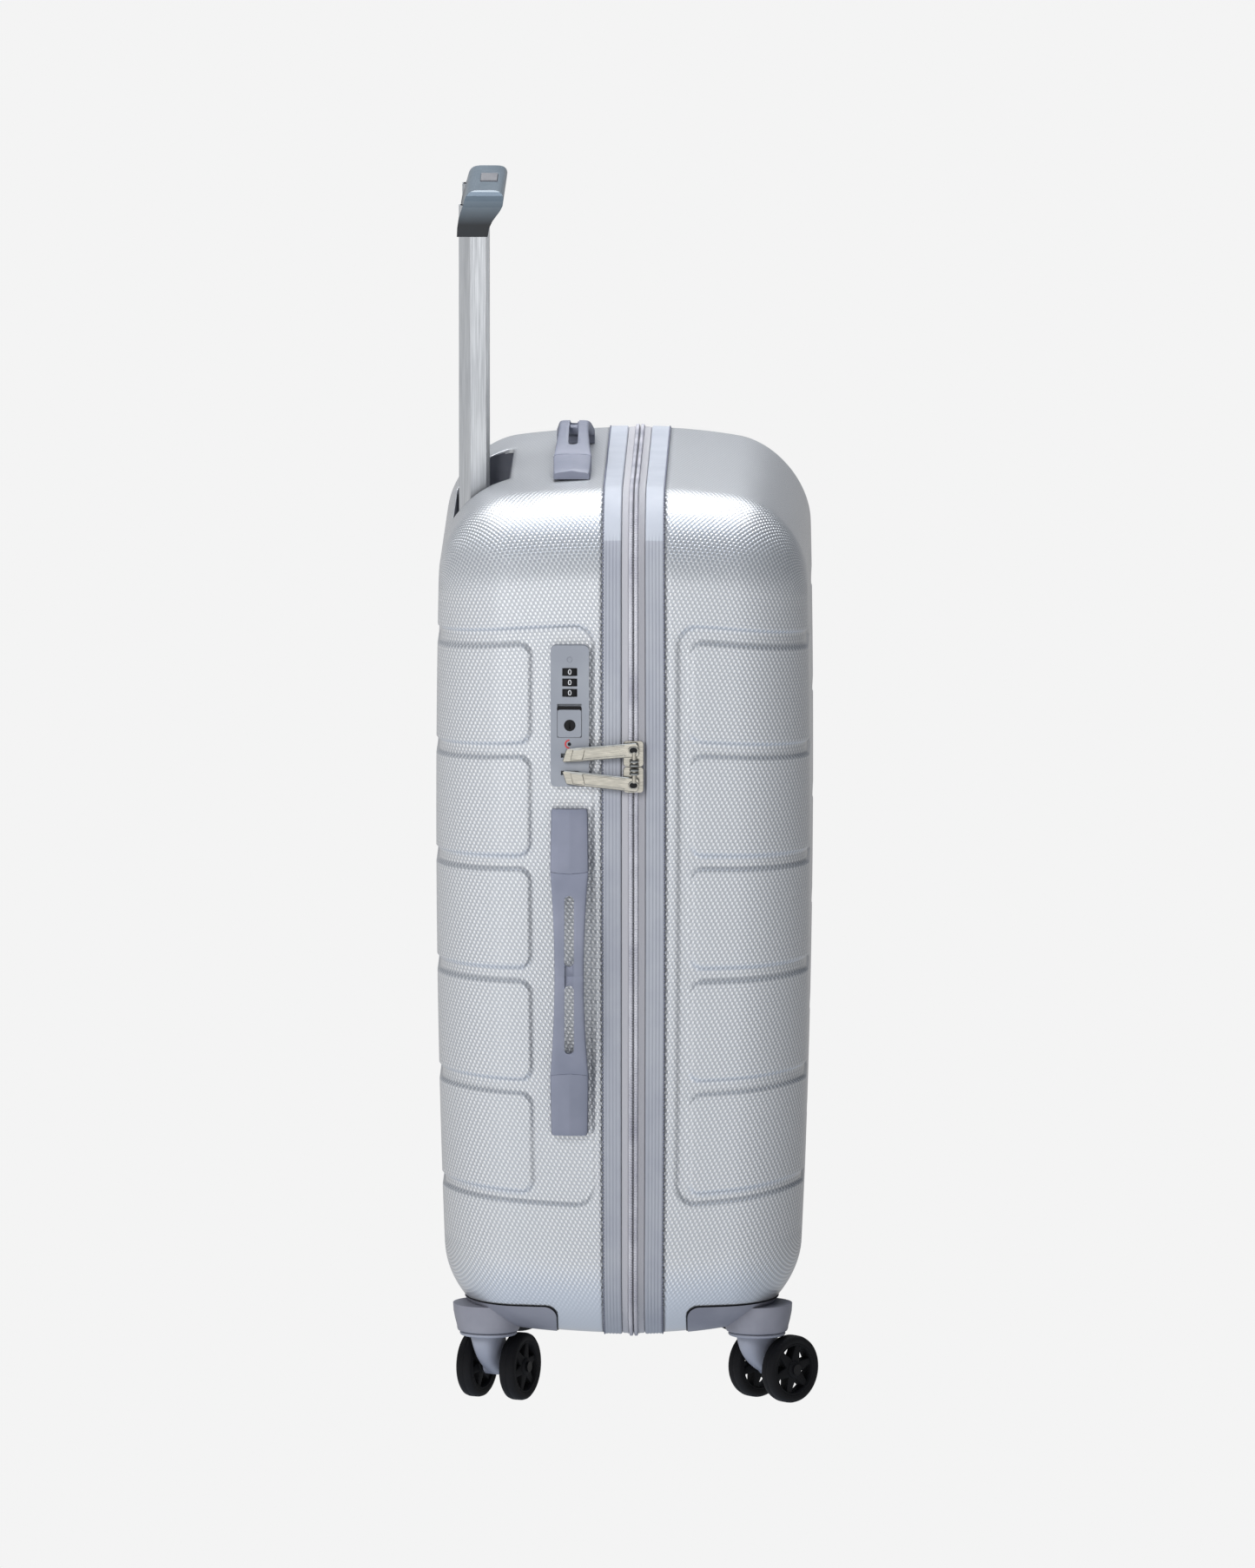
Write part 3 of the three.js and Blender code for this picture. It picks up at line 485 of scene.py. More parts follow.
def shell_surface(side, rim_x, inset, pressed):
    """One half of the case as rings and a large face.

    Gives points, weave coordinates, faces and the number of the first face of the large face.
    """
    edge_radius = EDGE_RADIUS - inset
    edge_x = BACK_FACE_X + EDGE_RADIUS if side < 0 else FRONT_FACE_X - EDGE_RADIUS
    if side < 0:
        dense = [(RECESS_X[side] - 17, RECESS_X[side] + 3), (PAD_X[side] - 12, PAD_X[side] + 3)]
    else:
        dense = [(RECESS_X[side] - 3, PAD_X[side] + 12)]
    # each ring of the profile: its x, inset, the angle of its normal and how far it is along the weave
    profile = [(x, 0.0, 0.0, abs(x - rim_x)) for x in lines_between(rim_x, edge_x, dense, FINE_STEP, 5.0)]
    for step in range(1, EDGE_STEPS + 1):
        angle = step / EDGE_STEPS * math.pi / 2
        profile.append((edge_x + side * edge_radius * math.sin(angle), edge_radius * (1 - math.cos(angle)),
                        angle, abs(edge_x - rim_x) + EDGE_RADIUS * angle))
    count = len(shell_outline)
    around = shell_outline.length[:count]
    points, uvs = [], []
    for x, ring_inset, angle, along in profile:
        yz = shell_outline.at(inset + ring_inset)
        normal = np.column_stack([np.full(count, side * math.sin(angle)),
                                  shell_outline.ways * math.cos(angle)])
        points.append(shell_points(side, np.column_stack([np.full(count, x), yz]), normal, pressed))
        uvs.append(np.column_stack([around, np.full(count, along)]))
    faces = []
    for first in range(0, (len(profile) - 1) * count, count):
        faces += band_faces(first, first + count, count)
    # the flat face: rows join the two long sides, and the ends are single faces
    base = (len(profile) - 1) * count
    face_x = profile[-1][0]
    reach = HALF_WIDTH - inset - edge_radius
    rows = range(shell_outline.side_count + 2)
    left = [shell_outline.marks[1] + shell_outline.arc_steps + k for k in rows]
    right = [(shell_outline.marks[3] + shell_outline.arc_steps + k) % count for k in rows]
    left = list(reversed(left))
    columns = lines_between(reach, 0, [(CHANNEL_REACH - 15, CHANNEL_REACH + 9)], 2.2, 12.0)[1:-1]
    columns = columns + [0.0] + [-y for y in reversed(columns)]
    ring_yz = shell_outline.at(inset + edge_radius)
    next_index = base + count
    grid = []
    for low_side, high_side in zip(right, left):
        row = [base + low_side]
        z = ring_yz[low_side][1]
        block = np.array([(face_x, y, z) for y in columns])
        points.append(shell_points(side, block, np.array([side, 0, 0]), pressed))
        uvs.append(np.column_stack([np.full(len(columns), around[low_side]),
                                    profile[-1][3] + reach - np.array(columns)]))
        row += list(range(next_index, next_index + len(columns)))
        next_index += len(columns)
        row.append(base + high_side)
        grid.append(row)
    for lower, upper in zip(grid[:-1], grid[1:]):
        for k in range(len(lower) - 1):
            faces.append((lower[k], upper[k], upper[k + 1], lower[k + 1]))
    top_ring = [base + (right[-1] + k) % count for k in range((left[-1] - right[-1]) % count + 1)]
    bottom_ring = [base + (left[0] + k) % count for k in range((right[0] - left[0]) % count + 1)]
    faces.append(tuple(top_ring + list(reversed(grid[-1][1:-1]))))
    faces.append(tuple(bottom_ring + grid[0][1:-1]))
    if side < 0:
        faces = [tuple(reversed(face)) for face in faces]
    return np.concatenate(points), np.concatenate(uvs), faces, base


def lay_weave(piece, flat):
    """Lays the weave flat on the large faces, the polygons in flat, and closes it where it wraps round."""
    mesh = piece.data
    layer = mesh.uv_layers["weave"].data
    whole = shell_outline.length[-1]
    for index, polygon in enumerate(mesh.polygons):
        if any(index in span for span in flat):
            for loop in polygon.loop_indices:
                point = mesh.vertices[mesh.loops[loop].vertex_index].co / MM
                layer[loop].uv = (point.z, point.y)
        elif polygon.loop_total == 4:
            low = min(layer[loop].uv.x for loop in polygon.loop_indices)
            high = max(layer[loop].uv.x for loop in polygon.loop_indices)
            if high - low > whole / 2:
                for loop in polygon.loop_indices:
                    if layer[loop].uv.x < whole / 2:
                        layer[loop].uv.x += whole


def shell_piece(name, side, body, outer=0.0, inner=WALL, pressed=True, material="shell", replaces=()):
    """A shell half as a closed body between two surfaces, at the insets outer and inner."""
    rim_x = BACK_RIM_X if side < 0 else FRONT_RIM_X
    outside, outside_uv, outside_faces, outside_flat = shell_surface(side, rim_x, outer, pressed)
    inside, inside_uv, inside_faces, inside_flat = shell_surface(side, rim_x, inner, False)
    shift = len(outside)
    faces = outside_faces + [tuple(v + shift for v in reversed(face)) for face in inside_faces]
    rim = band_faces(shift, 0, len(shell_outline))
    faces += rim if side > 0 else [tuple(reversed(face)) for face in rim]
    piece = mesh_piece(name, np.concatenate([outside, inside]), faces, material, body,
                       np.concatenate([outside_uv, inside_uv]), True, replaces)
    inside_start = len(outside_faces)
    lay_weave(piece, (range(outside_flat, inside_start),
                      range(inside_start + inside_flat, inside_start + len(inside_faces))))
    return piece


def prism(name, outline, axis, low, high):
    """A closed prism in millimetres; outline holds (u, v) pairs in the plane across axis."""
    order = {"x": (2, 0, 1), "y": (0, 2, 1), "z": (0, 1, 2)}[axis]
    corners = [(u, v, depth) for depth in (low, high) for u, v in outline]
    points = [[corner[k] for k in order] for corner in corners]
    count = len(outline)
    faces = [tuple(range(count)), tuple(range(2 * count - 1, count - 1, -1))]
    faces += band_faces(count, 0, count)
    mesh = bpy.data.meshes.new(name)
    mesh.from_pydata([tuple(np.array(p) * MM) for p in points], [], faces)
    tool = new_object(name, mesh)
    fix_normals(tool)
    return tool


def boolean(piece, tool, operation="DIFFERENCE"):
    """Cuts piece with tool at once, and takes the tool away."""
    modifier = piece.modifiers.new("cut", "BOOLEAN")
    modifier.operation = operation
    modifier.solver = "MANIFOLD"
    modifier.object = tool
    bake(piece)
    bpy.data.objects.remove(tool)


def bake(piece):
    """Replaces a piece's mesh by the mesh its modifiers give."""
    bpy.context.view_layer.update()
    graph = bpy.context.evaluated_depsgraph_get()
    result = bpy.data.meshes.new_from_object(piece.evaluated_get(graph), depsgraph=graph)
    old = piece.data
    piece.modifiers.clear()
    piece.data = result
    bpy.data.meshes.remove(old)


def arc(centre_u, centre_v, radius, start, end, steps=8):
    angles = [math.radians(start + (end - start) * k / steps) for k in range(steps + 1)]
    return [(centre_u + radius * math.cos(a), centre_v + radius * math.sin(a)) for a in angles]


def rounded_rectangle(u0, u1, v0, v1, radius, steps=8):
    centres = ((u1 - radius, v1 - radius), (u0 + radius, v1 - radius),
               (u0 + radius, v0 + radius), (u1 - radius, v0 + radius))
    points = []
    for quarter, (u, v) in enumerate(centres):
        points += arc(u, v, radius, 90 * quarter, 90 * quarter + 90, steps)
    return points


def circle(steps):
    """Cosine and sine of each step round a circle."""
    return [(math.cos(a), math.sin(a)) for a in np.linspace(0, 2 * math.pi, steps + 1)[:-1]]


def signed_power(value, power):
    """A power that keeps the sign: it squares up a circle into a rounded box."""
    return math.copysign(abs(value) ** power, value)


# ------------------------------------------------------------ shells

def build_shells():
    back = shell_piece("back_shell_skin", -1, "root", replaces=("back_shell",))
    low, high = bezel_low + POCKET_RIM, bezel_high - POCKET_RIM
    pocket = rounded_rectangle(low[0], high[0], low[1], high[1], 9)
    boolean(back, prism("pocket_cut", pocket, "z", bezel_low[2] - 0.3, ABOVE_CASE))
    shell_piece("front_shell_skin", 1, "lid", replaces=("front_shell",))


build_shells()


# ------------------------------------------------------------ band along the parting plane

band_outline = Outline(list(np.linspace(-FLAT_Z, FLAT_Z, 61)), list(np.linspace(-160, 160, 41)), 24)


def ribbed_share():
    """1 where the trims are ribbed, 0 on their smooth top pieces."""
    z = band_outline.at(0)[:, 1]
    return 1 - smooth_step(z, FLAT_Z + 33, FLAT_Z + 34.5)


def ring(name, section, material, body, rib=None, replaces=()):
    """Sweeps a closed section of (x, height) round the case. rib says how far each point moves on ribs."""
    count = len(band_outline)
    share = ribbed_share()
    points, faces = [], []
    for k, (x, height) in enumerate(section):
        lift = height + (rib[k] if rib else 0) * share
        yz = band_outline.centres + band_outline.ways * (CORNER_RADIUS + lift)[:, None]
        points.append(crowned(np.full(count, float(x)), yz[:, 0], yz[:, 1]))
    rows = len(section)
    for k in range(rows):
        faces += band_faces((k + 1) % rows * count, k * count, count)
    return mesh_piece(name, np.concatenate(points), faces, material, body, replaces=replaces)


def trim_section(low_x, high_x, proud):
    """A flat strip with round shoulders and five fine ribs along its face."""
    width = high_x - low_x
    rib_depth, rib_pitch = 0.42, 2.5
    face_points = 33
    section, ribs = [], []
    for k in range(face_points):
        share = k / (face_points - 1)
        x = low_x + width * share
        edge = min(share, 1 - share) * width
        section.append((x, proud - 1.1 * (1 - min(edge / 1.3, 1)) ** 2))
        inside = smooth_step(np.array(edge), 1.6, 2.4)
        wave = 0.5 - 0.5 * math.cos(2 * math.pi * (x - low_x - 2) / rib_pitch)
        ribs.append(float(-rib_depth * inside * wave ** 2))
    section += [(high_x, proud - 3), (high_x - 0.6, proud - 4.2)]
    section += [(low_x + 0.6, proud - 4.2), (low_x, proud - 3)]
    ribs += [0.0] * 4
    return section, ribs


def build_trims():
    for name, low, high, body in (("back", trim_back_low, trim_back_high, "root"),
                                  ("front", trim_front_low, trim_front_high, "lid")):
        section, ribs = trim_section(low[0], high[0], TRIM_PROUD)
        trim = ring(f"trim_{name}_ribbed", section, "trim_ribbed", body, ribs, (f"trim_{name}",))
        dress(trim, "trim_ribbed", "trim_smooth")
        share = ribbed_share()
        count = len(band_outline)
        for polygon in trim.data.polygons:
            polygon.material_index = 0 if share[polygon.vertices[0] % count] > 0.5 else 1


def beads(name, x, height, pitch, size, material, body, slot, offset=0.0):
    """Small rounded blocks set round the case, such as stitches or zip teeth. size is (x, along, up)."""
    around = band_outline.at(-height)
    closed = np.vstack([around, around[:1]])
    length = np.concatenate([[0], np.cumsum(np.linalg.norm(np.diff(closed, axis=0), axis=1))])
    total = length[-1]
    number = int(total / pitch)
    places = (np.arange(number) + offset) * total / number
    y = np.interp(places, length, closed[:, 0])
    z = np.interp(places, length, closed[:, 1])
    ahead_y = np.interp((places + 0.5) % total, length, closed[:, 0]) - y
    ahead_z = np.interp((places + 0.5) % total, length, closed[:, 1]) - z
    norm = np.hypot(ahead_y, ahead_z)
    ahead_y, ahead_z = ahead_y / norm, ahead_z / norm
    out_y, out_z = ahead_z, -ahead_y
    # a rounded block: an octagonal foot with a raised middle
    foot = [(-1, -0.55), (-0.55, -1), (0.55, -1), (1, -0.55), (1, 0.55), (0.55, 1), (-0.55, 1), (-1, 0.55)]
    middle = [(-0.6, -0.4), (0.6, -0.4), (0.6, 0.4), (-0.6, 0.4)]
    form = [(u, v, -0.6) for u, v in foot] + [(u, v, 1) for u, v in middle]
    form_faces = [(8, 9, 10, 11), (0, 1, 8), (1, 2, 9, 8), (2, 3, 9), (3, 4, 10, 9), (4, 5, 10),
                  (5, 6, 11, 10), (6, 7, 11), (7, 0, 8, 11), (7, 6, 5, 4, 3, 2, 1, 0)]
    points = []
    for dx, along, up in form:
        px = x + dx * size[0] / 2
        py = y + (ahead_y * along * size[1] + out_y * up * size[2]) / 2
        pz = z + (ahead_z * along * size[1] + out_z * up * size[2]) / 2
        points.append(crowned(np.full(number, float(px)), py, pz))
    points = np.stack(points, axis=1).reshape(-1, 3)
    faces = [tuple(k * len(form) + v for v in face) for k in range(number) for face in form_faces]
    return mesh_piece(name, points, faces, material, body)


def build_zip():
    for name, low, high, body, side in (("back", zip_back_low[0], zip_back_high[0], "root", -1),
                                        ("front", zip_front_low[0], zip_front_high[0], "lid", 1)):
        outer = low if side < 0 else high
        inner = high if side < 0 else low
        section = [(outer, -1.6), (outer, -0.3), (outer - side * 0.8, 0.25), (inner + side * 4.6, 0.3),
                   (inner + side * 4.2, 0.75), (inner + side * 3.7, 0.3), (inner, 0.2), (inner, -1.6)]
        fix_normals(ring(f"zip_tape_{name}_woven", section, "tape", body,
                         replaces=(f"zip_{name}",)))
        cord = [(inner + side * (1.9 + 1.45 * c), 0.5 + 1.25 * s) for c, s in circle(8)]
        fix_normals(ring(f"zip_cord_{name}", cord, "coil", body))
        beads(f"zip_teeth_{name}", inner + side * 1.75, 1.35, 1.9, (3.3, 1.25, 1.9), "coil", body,
              "zip_tape", offset=0.0 if side < 0 else 0.5)
    stitch = 0.9, 2.7, (1.3, 2.1, 1.2), "stitch"
    beads("stitches_back", trim_back_low[0] + 0.2, *stitch, "root", "trim")
    beads("stitches_front", trim_front_high[0] - 0.2, *stitch, "lid", "trim")


build_trims()
build_zip()


# ------------------------------------------------------------ CAD nodes that keep their shape

def finish_node(node, material, width, segments=2):
    piece = frame["nodes"][node]
    dress(piece, material)
    return soften(piece, width, segments)


for side in ("right", "left"):
    finish_node(f"trolley_outer_tube_{side}", "tube", 0.3)
    finish_node(f"trolley_mid_tube_{side}", "tube", 0.3)
    finish_node(f"trolley_mid_collar_{side}", "black", 0.3)
    finish_node(f"trolley_inner_tube_{side}", "tube", 0.45, 3)
finish_node("trolley_foot_bracket", "black", 1.0)
finish_node("trolley_bezel", "bezel", 0.6)
finish_node("trolley_release_button", "button", 1.2, 3)
finish_node("trolley_grip", "grip", 2.2, 4)
finish_node("lock_case", "lock", 0.5, 3)
finish_node("lock_button", "lock", 0.5, 3)
finish_node("lock_key_cylinder", "black", 0.3)
for number in (1, 2, 3):
    finish_node(f"lock_dial_{number}", "black", 0.4)
for half in ("back", "front"):
    dress(frame["nodes"][f"lining_{half}"], "lining")
CORNERS = ("rear_right", "rear_left", "front_right", "front_left")
for corner in CORNERS:
    finish_node(f"caster_axle_{corner}", "black", 0.3)


# ------------------------------------------------------------ casters

joints = {joint["name"]: joint for joint in frame["joints"]}
GUARD_REACH = 50.5
GUARD_TOP = 77.5
GUARD_RADIUS = 24.0
WHEEL_WIDTH = 13.0
FAR = 400.0
STRAIGHT = Matrix.Identity(4)
UP = Vector((0, 0, 1))


def joint_place(name):
    return np.array(joints[name]["pos_m"]) / MM


def sheet_loft(rings, closed=True):
    """Vertices and faces of a closed body through rings of equal length, with its two ends filled."""
    count = len(rings[0])
    vertices = [point for ring_points in rings for point in ring_points]
    faces = []
    for k in range(len(rings) - 1):
        faces += band_faces(k * count, (k + 1) * count, count)
    if closed:
        faces.append(tuple(reversed(range(count))))
        faces.append(tuple((len(rings) - 1) * count + i for i in range(count)))
    return vertices, faces


def turned(profile, steps=48):
    """Rings of a body turned round Z from (radius, height) pairs."""
    return [[(r * c, r * s, h) for c, s in circle(steps)] for r, h in profile]


def local_piece(name, parts, matrix, material, body, replaces=(), crease=35):
    """A piece from (vertices, faces) parts in its own millimetre axes, placed by matrix."""
    points, faces = [], []
    for vertices, part_faces in parts:
        shift = len(points)
        points += [tuple(matrix @ Vector(v)) for v in vertices]
        faces += [tuple(v + shift for v in face) for face in part_faces]
    piece = mesh_piece(name, points, faces, material, body, replaces=replaces)
    fix_normals(piece)
    piece.data.polygons.foreach_set("use_smooth", [True] * len(piece.data.polygons))
    piece.data.set_sharp_from_angle(angle=math.radians(crease))
    return piece


def axes_matrix(place, x_axis, y_axis, z_axis):
    turn = Matrix((x_axis, y_axis, z_axis)).transposed().to_4x4()
    return Matrix.Translation(Vector(place)) @ turn


def guard_skin(name, corner, proud, grow, material):
    """Cover over a bottom corner, proud of the shell and larger than the guard by grow."""
    side = -1 if corner.startswith("rear") else 1
    across = -1 if corner.endswith("right") else 1
    swivel = joint_place(f"swivel_{corner}")
    body = "root" if side < 0 else "lid"
    piece = shell_piece(name, side, body, -proud, 0.5, False, material)
    fix_normals(piece)
    reach = GUARD_REACH + grow
    top = GUARD_TOP + grow
    x = sorted((swivel[0] - side * reach, side * FAR))
    y = sorted((swivel[1] - across * reach, across * FAR))
    boolean(piece, prism("corner", rounded_rectangle(*x, *y, GUARD_RADIUS), "z", 0, top), "INTERSECT")
    boolean(piece, prism("front_view", rounded_rectangle(*x, -FAR, top, 9), "y", -FAR, FAR), "INTERSECT")
    boolean(piece, prism("side_view", rounded_rectangle(*y, -FAR, top, 9), "x", -FAR, FAR), "INTERSECT")
    piece.data.set_sharp_from_angle(angle=math.radians(40))


def build_housings():
    for corner in CORNERS:
        # a black strip a little larger than the guard and less proud, round its edge: painted shade in the
        # groove between guard and shell
        guard_skin(f"guard_edge_shade_{corner}", corner, 0.55, 1.1, "black")
        guard_skin(f"guard_{corner}", corner, 1.3, 0.0, "guard")
        place = joint_place(f"swivel_{corner}")
        profile = [(0.1, 74), (26, 74), (25.6, 68), (24.4, 62), (23.2, 57.5), (22.9, 55), (22.4, 53.9),
                   (21.2, 53.4), (0.1, 53.4)]
        body = "root" if corner.startswith("rear") else "lid"
        at_turret = Matrix.Translation(Vector((*place[:2], 0)))
        local_piece(f"turret_{corner}", [sheet_loft(turned(profile))], at_turret, "guard", body,
                    (f"caster_housing_{corner}",), 50)


def bezier(a, b, c, t):
    return a * (1 - t) ** 2 + 2 * b * t * (1 - t) + c * t * t


def fork_parts():
    """Horn shaped fork, wide at the flange and curved down to the axle boss. Its trail is along X."""
    rings = []
    for k in range(15):
        t = k / 14
        rear = (bezier(-16, -15, 9, t), bezier(50.4, 31, 20, t))
        front = (bezier(15, 21, 25, t), bezier(50.4, 42, 27, t))
        thick = 9.2 - 1.7 * t + 1.6 * (1 - t) ** 3
        ring_points = []
        for c, s in circle(28):
            u = 0.5 + 0.5 * signed_power(c, 0.7)
            ring_points.append((rear[0] + (front[0] - rear[0]) * u, thick * signed_power(s, 0.75),
                                rear[1] + (front[1] - rear[1]) * u))
        rings.append(ring_points)
    flange = turned([(0.1, 50.2), (19.6, 50.2), (20.6, 50.6), (21, 51.2), (21, 52.2), (20.4, 52.8),
                     (0.1, 52.8)], 40)
    boss = [[(17 + r * c, y, 25 + r * s) for c, s in circle(24)]
            for r, y in ((6.2, -10.3), (7.4, -9.4), (7.6, 0), (7.4, 9.4), (6.2, 10.3))]
    return [sheet_loft(rings), sheet_loft(flange), sheet_loft(boss)]


def mirrored(profile, half, middle=()):
    """A wheel profile across the whole width, from the (radius, distance in from the face) of one side."""
    lower = [(r, -half + distance) for r, distance in profile]
    upper = [(r, half - distance) for r, distance in reversed(profile)]
    return lower + list(middle) + upper


def closed_loft(rings):
    """Vertices and faces through rings that come back to the first one."""
    count = len(rings[0])
    vertices, faces = sheet_loft(rings, False)
    return vertices, faces + band_faces((len(rings) - 1) * count, 0, count)


def wheel_parts():
    """Spoked wheel turned round Z: tyre, rim, hub with its cap, and six spokes that taper outwards."""
    half = WHEEL_WIDTH / 2
    # the lower halves of the profiles, as (radius, distance in from the wheel's face)
    tyre_half = [(19.2, 1.0), (21.2, 0.3), (23, 0.5), (24.3, 1.6), (24.9, 3.4), (24.98, half - 0.5)]
    rim_half = [(19.3, 1.6), (18.9, 0.9), (18.1, 0.9), (17.5, 1.8)]
    hub_half = [(0.1, 0.2), (4.6, 0.2), (6.0, 0.9), (6.6, 2)]
    parts = []
    for profile in (mirrored(tyre_half, half, [(24.7, 0)]), mirrored(rim_half, half, [(17.2, 0)])):
        parts.append(closed_loft(turned(profile, 64)))
    hub = mirrored(hub_half, half)
    parts.append(sheet_loft(turned(hub, 32)))
    for k in range(6):
        turn = Matrix.Rotation(math.pi / 3 * k + 0.26, 4, "Z")
        rings = []
        for r, width, deep in ((5.2, 4.2, 4.6), (9.5, 3.5, 4.3), (14, 2.7, 4.0), (18.1, 2.3, 3.9)):
            outline = rounded_rectangle(-width, width, -deep, deep, 0.7, 3)
            rings.append([tuple(turn @ Vector((r, u, v))) for u, v in outline])
        parts.append(sheet_loft(rings))
    return parts


def build_casters():
    fork, wheel = fork_parts(), wheel_parts()
    for corner in CORNERS:
        place = joint_place(f"swivel_{corner}")
        wheels = [joint_place(f"spin_{corner}_{k}") for k in "ab"]
        middle = (wheels[0] + wheels[1]) / 2
        trail = Vector((*(middle - place)[:2], 0)).normalized()
        across = UP.cross(trail)
        at_fork = axes_matrix((*place[:2], 0), trail, across, UP)
        local_piece(f"fork_{corner}", fork, at_fork, "fork", f"caster_{corner}",
                    (f"caster_fork_{corner}",), 45)
        for k, at in zip("ab", wheels):
            at_wheel = axes_matrix(at, trail, UP, trail.cross(UP))
            local_piece(f"spoked_wheel_{corner}_{k}", wheel, at_wheel, "tyre", f"wheel_{corner}_{k}",
                        (f"wheel_{corner}_{k}",), 38)


# ------------------------------------------------------------ carry handles

HANDLE_REACH = 75.2
HANDLE_HALF = 120.5
SEAM_HEIGHT = 12.4
RISE = 25.5


def seam_bow(v):
    """How far the seam between grip and cap bows towards the middle of the handle."""
    return 1.5 * (1 - (v / 14) ** 2)


def grip_half(direction):
    """One half of a grip, from its seam to its middle, in its own axes: length X, width Y, height Z."""
    rings = []
    for k in range(17):
        share = 1 - k / 16
        u = direction * HANDLE_REACH * share
        top = RISE - (RISE - SEAM_HEIGHT) * share ** 2
        half = 10.75 + 3.25 * share ** 2
        section = [(half * signed_power(c, 0.32), top - 3.5 + 3.5 * signed_power(s, 0.5))
                   for c, s in circle(48)]
        rings.append([(u - direction * seam_bow(v) * share ** 8, v, h) for v, h in section])
    return sheet_loft(rings)


def cap_body(direction):
    """End cap: from the grip's section at the seam it slopes down to a round nose, with a low ridge."""
    rings = []
    for k in range(19):
        share = k / 18
        u = HANDLE_REACH + 0.3 + (HANDLE_HALF - HANDLE_REACH - 0.3) * share
        nose = max(0.0, (u - HANDLE_HALF + 1.2) / 1.2)
        drop = 1.2 * (1 - math.sqrt(max(0.0, 1 - nose ** 2)))
        height = SEAM_HEIGHT - (SEAM_HEIGHT - 6.5) * share - drop * 0.8
        half = 14 - 0.6 * share - drop * 0.6
        ridge = 0.7 * smooth_step(np.array(share), 0.0, 0.15)
        left = [(-half, 0), (-half, height - 3), (-half + 0.7, height - 1.5), (-half + 2.2, height - 0.7),
                (-half * 0.5, height - 0.25), (-1.2, height + ridge * 0.8)]
        outline = left + [(0, height + ridge)] + [(-v, h) for v, h in reversed(left)]
        rings.append([(direction * (u - seam_bow(v) * (1 - share) ** 8), v, h) for v, h in outline])
    return sheet_loft(rings)


def build_handle(name, matrix, cap_names, start_middle):
    """start_middle maps a place along the handle to a point of the frame, in metres."""
    for direction, cap in zip((1, -1), cap_names):
        half = local_piece(f"{name}_grip_half_{cap}", [grip_half(direction)], STRAIGHT, "handle", None,
                           (f"{name}_handle_grip",))
        ends = sorted((direction * 7.0, direction * 58.5))
        boolean(half, prism("slot", rounded_rectangle(*ends, -3.5, 3.5, 3.4), "z", -5, 60))
        web = sorted((direction * -1.0, direction * 8.0))
        boolean(half, prism("web", rounded_rectangle(*web, -3.3, 3.3, 0.4, 2), "z", RISE - 2.4, 60))
        half.data.transform(Matrix.Scale(MM, 4).inverted())
        half.data.transform(matrix)
        half.data.transform(Matrix.Scale(MM, 4))
        bake(soften(half, 0.6, 2, 40))
        half.data.set_sharp_from_angle(angle=math.radians(50))
        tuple(start_middle(direction * HANDLE_REACH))
        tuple(start_middle(direction * 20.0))
        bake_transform(half)
        local_piece(f"{name}_cap_{cap}", [cap_body(direction)], matrix, "handle", "root",
                    (f"{name}_handle_cap_{cap}",), 28)


def build_handles():
    low, high = box_mm("side_handle_cap_upper")
    other_low, _ = box_mm("side_handle_cap_lower")
    centre = Vector(((low[0] + high[0]) / 2, high[1], (high[2] + other_low[2]) / 2))
    side = axes_matrix(centre, Vector((0, 0, 1)), Vector((1, 0, 0)), Vector((0, -1, 0)))
    build_handle("side", side, ("upper", "lower"), lambda u: tuple((side @ Vector((u, 0, 15))) * MM))
    low, high = box_mm("top_handle_cap_left")
    other_low, other_high = box_mm("top_handle_cap_right")
    left = high[1] > other_low[1] + 100
    middle_y = (high[1] + other_low[1]) / 2 if left else (low[1] + other_high[1]) / 2
    centre = Vector(((low[0] + high[0]) / 2, middle_y, low[2]))
    sign = 1 if left else -1
    top = axes_matrix(centre, Vector((0, sign, 0)), Vector((-sign, 0, 0)), Vector((0, 0, 1)))
    build_handle("top", top, ("left", "right"), lambda u: tuple((top @ Vector((u, 0, 15))) * MM))


# ------------------------------------------------------------ zip sliders and pulls

PULL_LENGTH = 53.5
PULL_HALF = 5.1
PULL_SLANT = math.radians(5.4)
PULL_TILT = math.radians(5.0)


def plate_rings(outline, levels):
    """Rings of a plate from its convex outline and (height, inset) pairs."""
    points = np.array(outline)
    centre = points.mean(axis=0)
    ahead = np.roll(points, -1, axis=0) - np.roll(points, 1, axis=0)
    inward = np.column_stack([-ahead[:, 1], ahead[:, 0]])
    inward /= np.linalg.norm(inward, axis=1)[:, None]
    inward *= np.sign(np.sum(inward * (centre - points), axis=1))[:, None]
    return [[(*point, height) for point in points + inward * inset] for height, inset in levels]


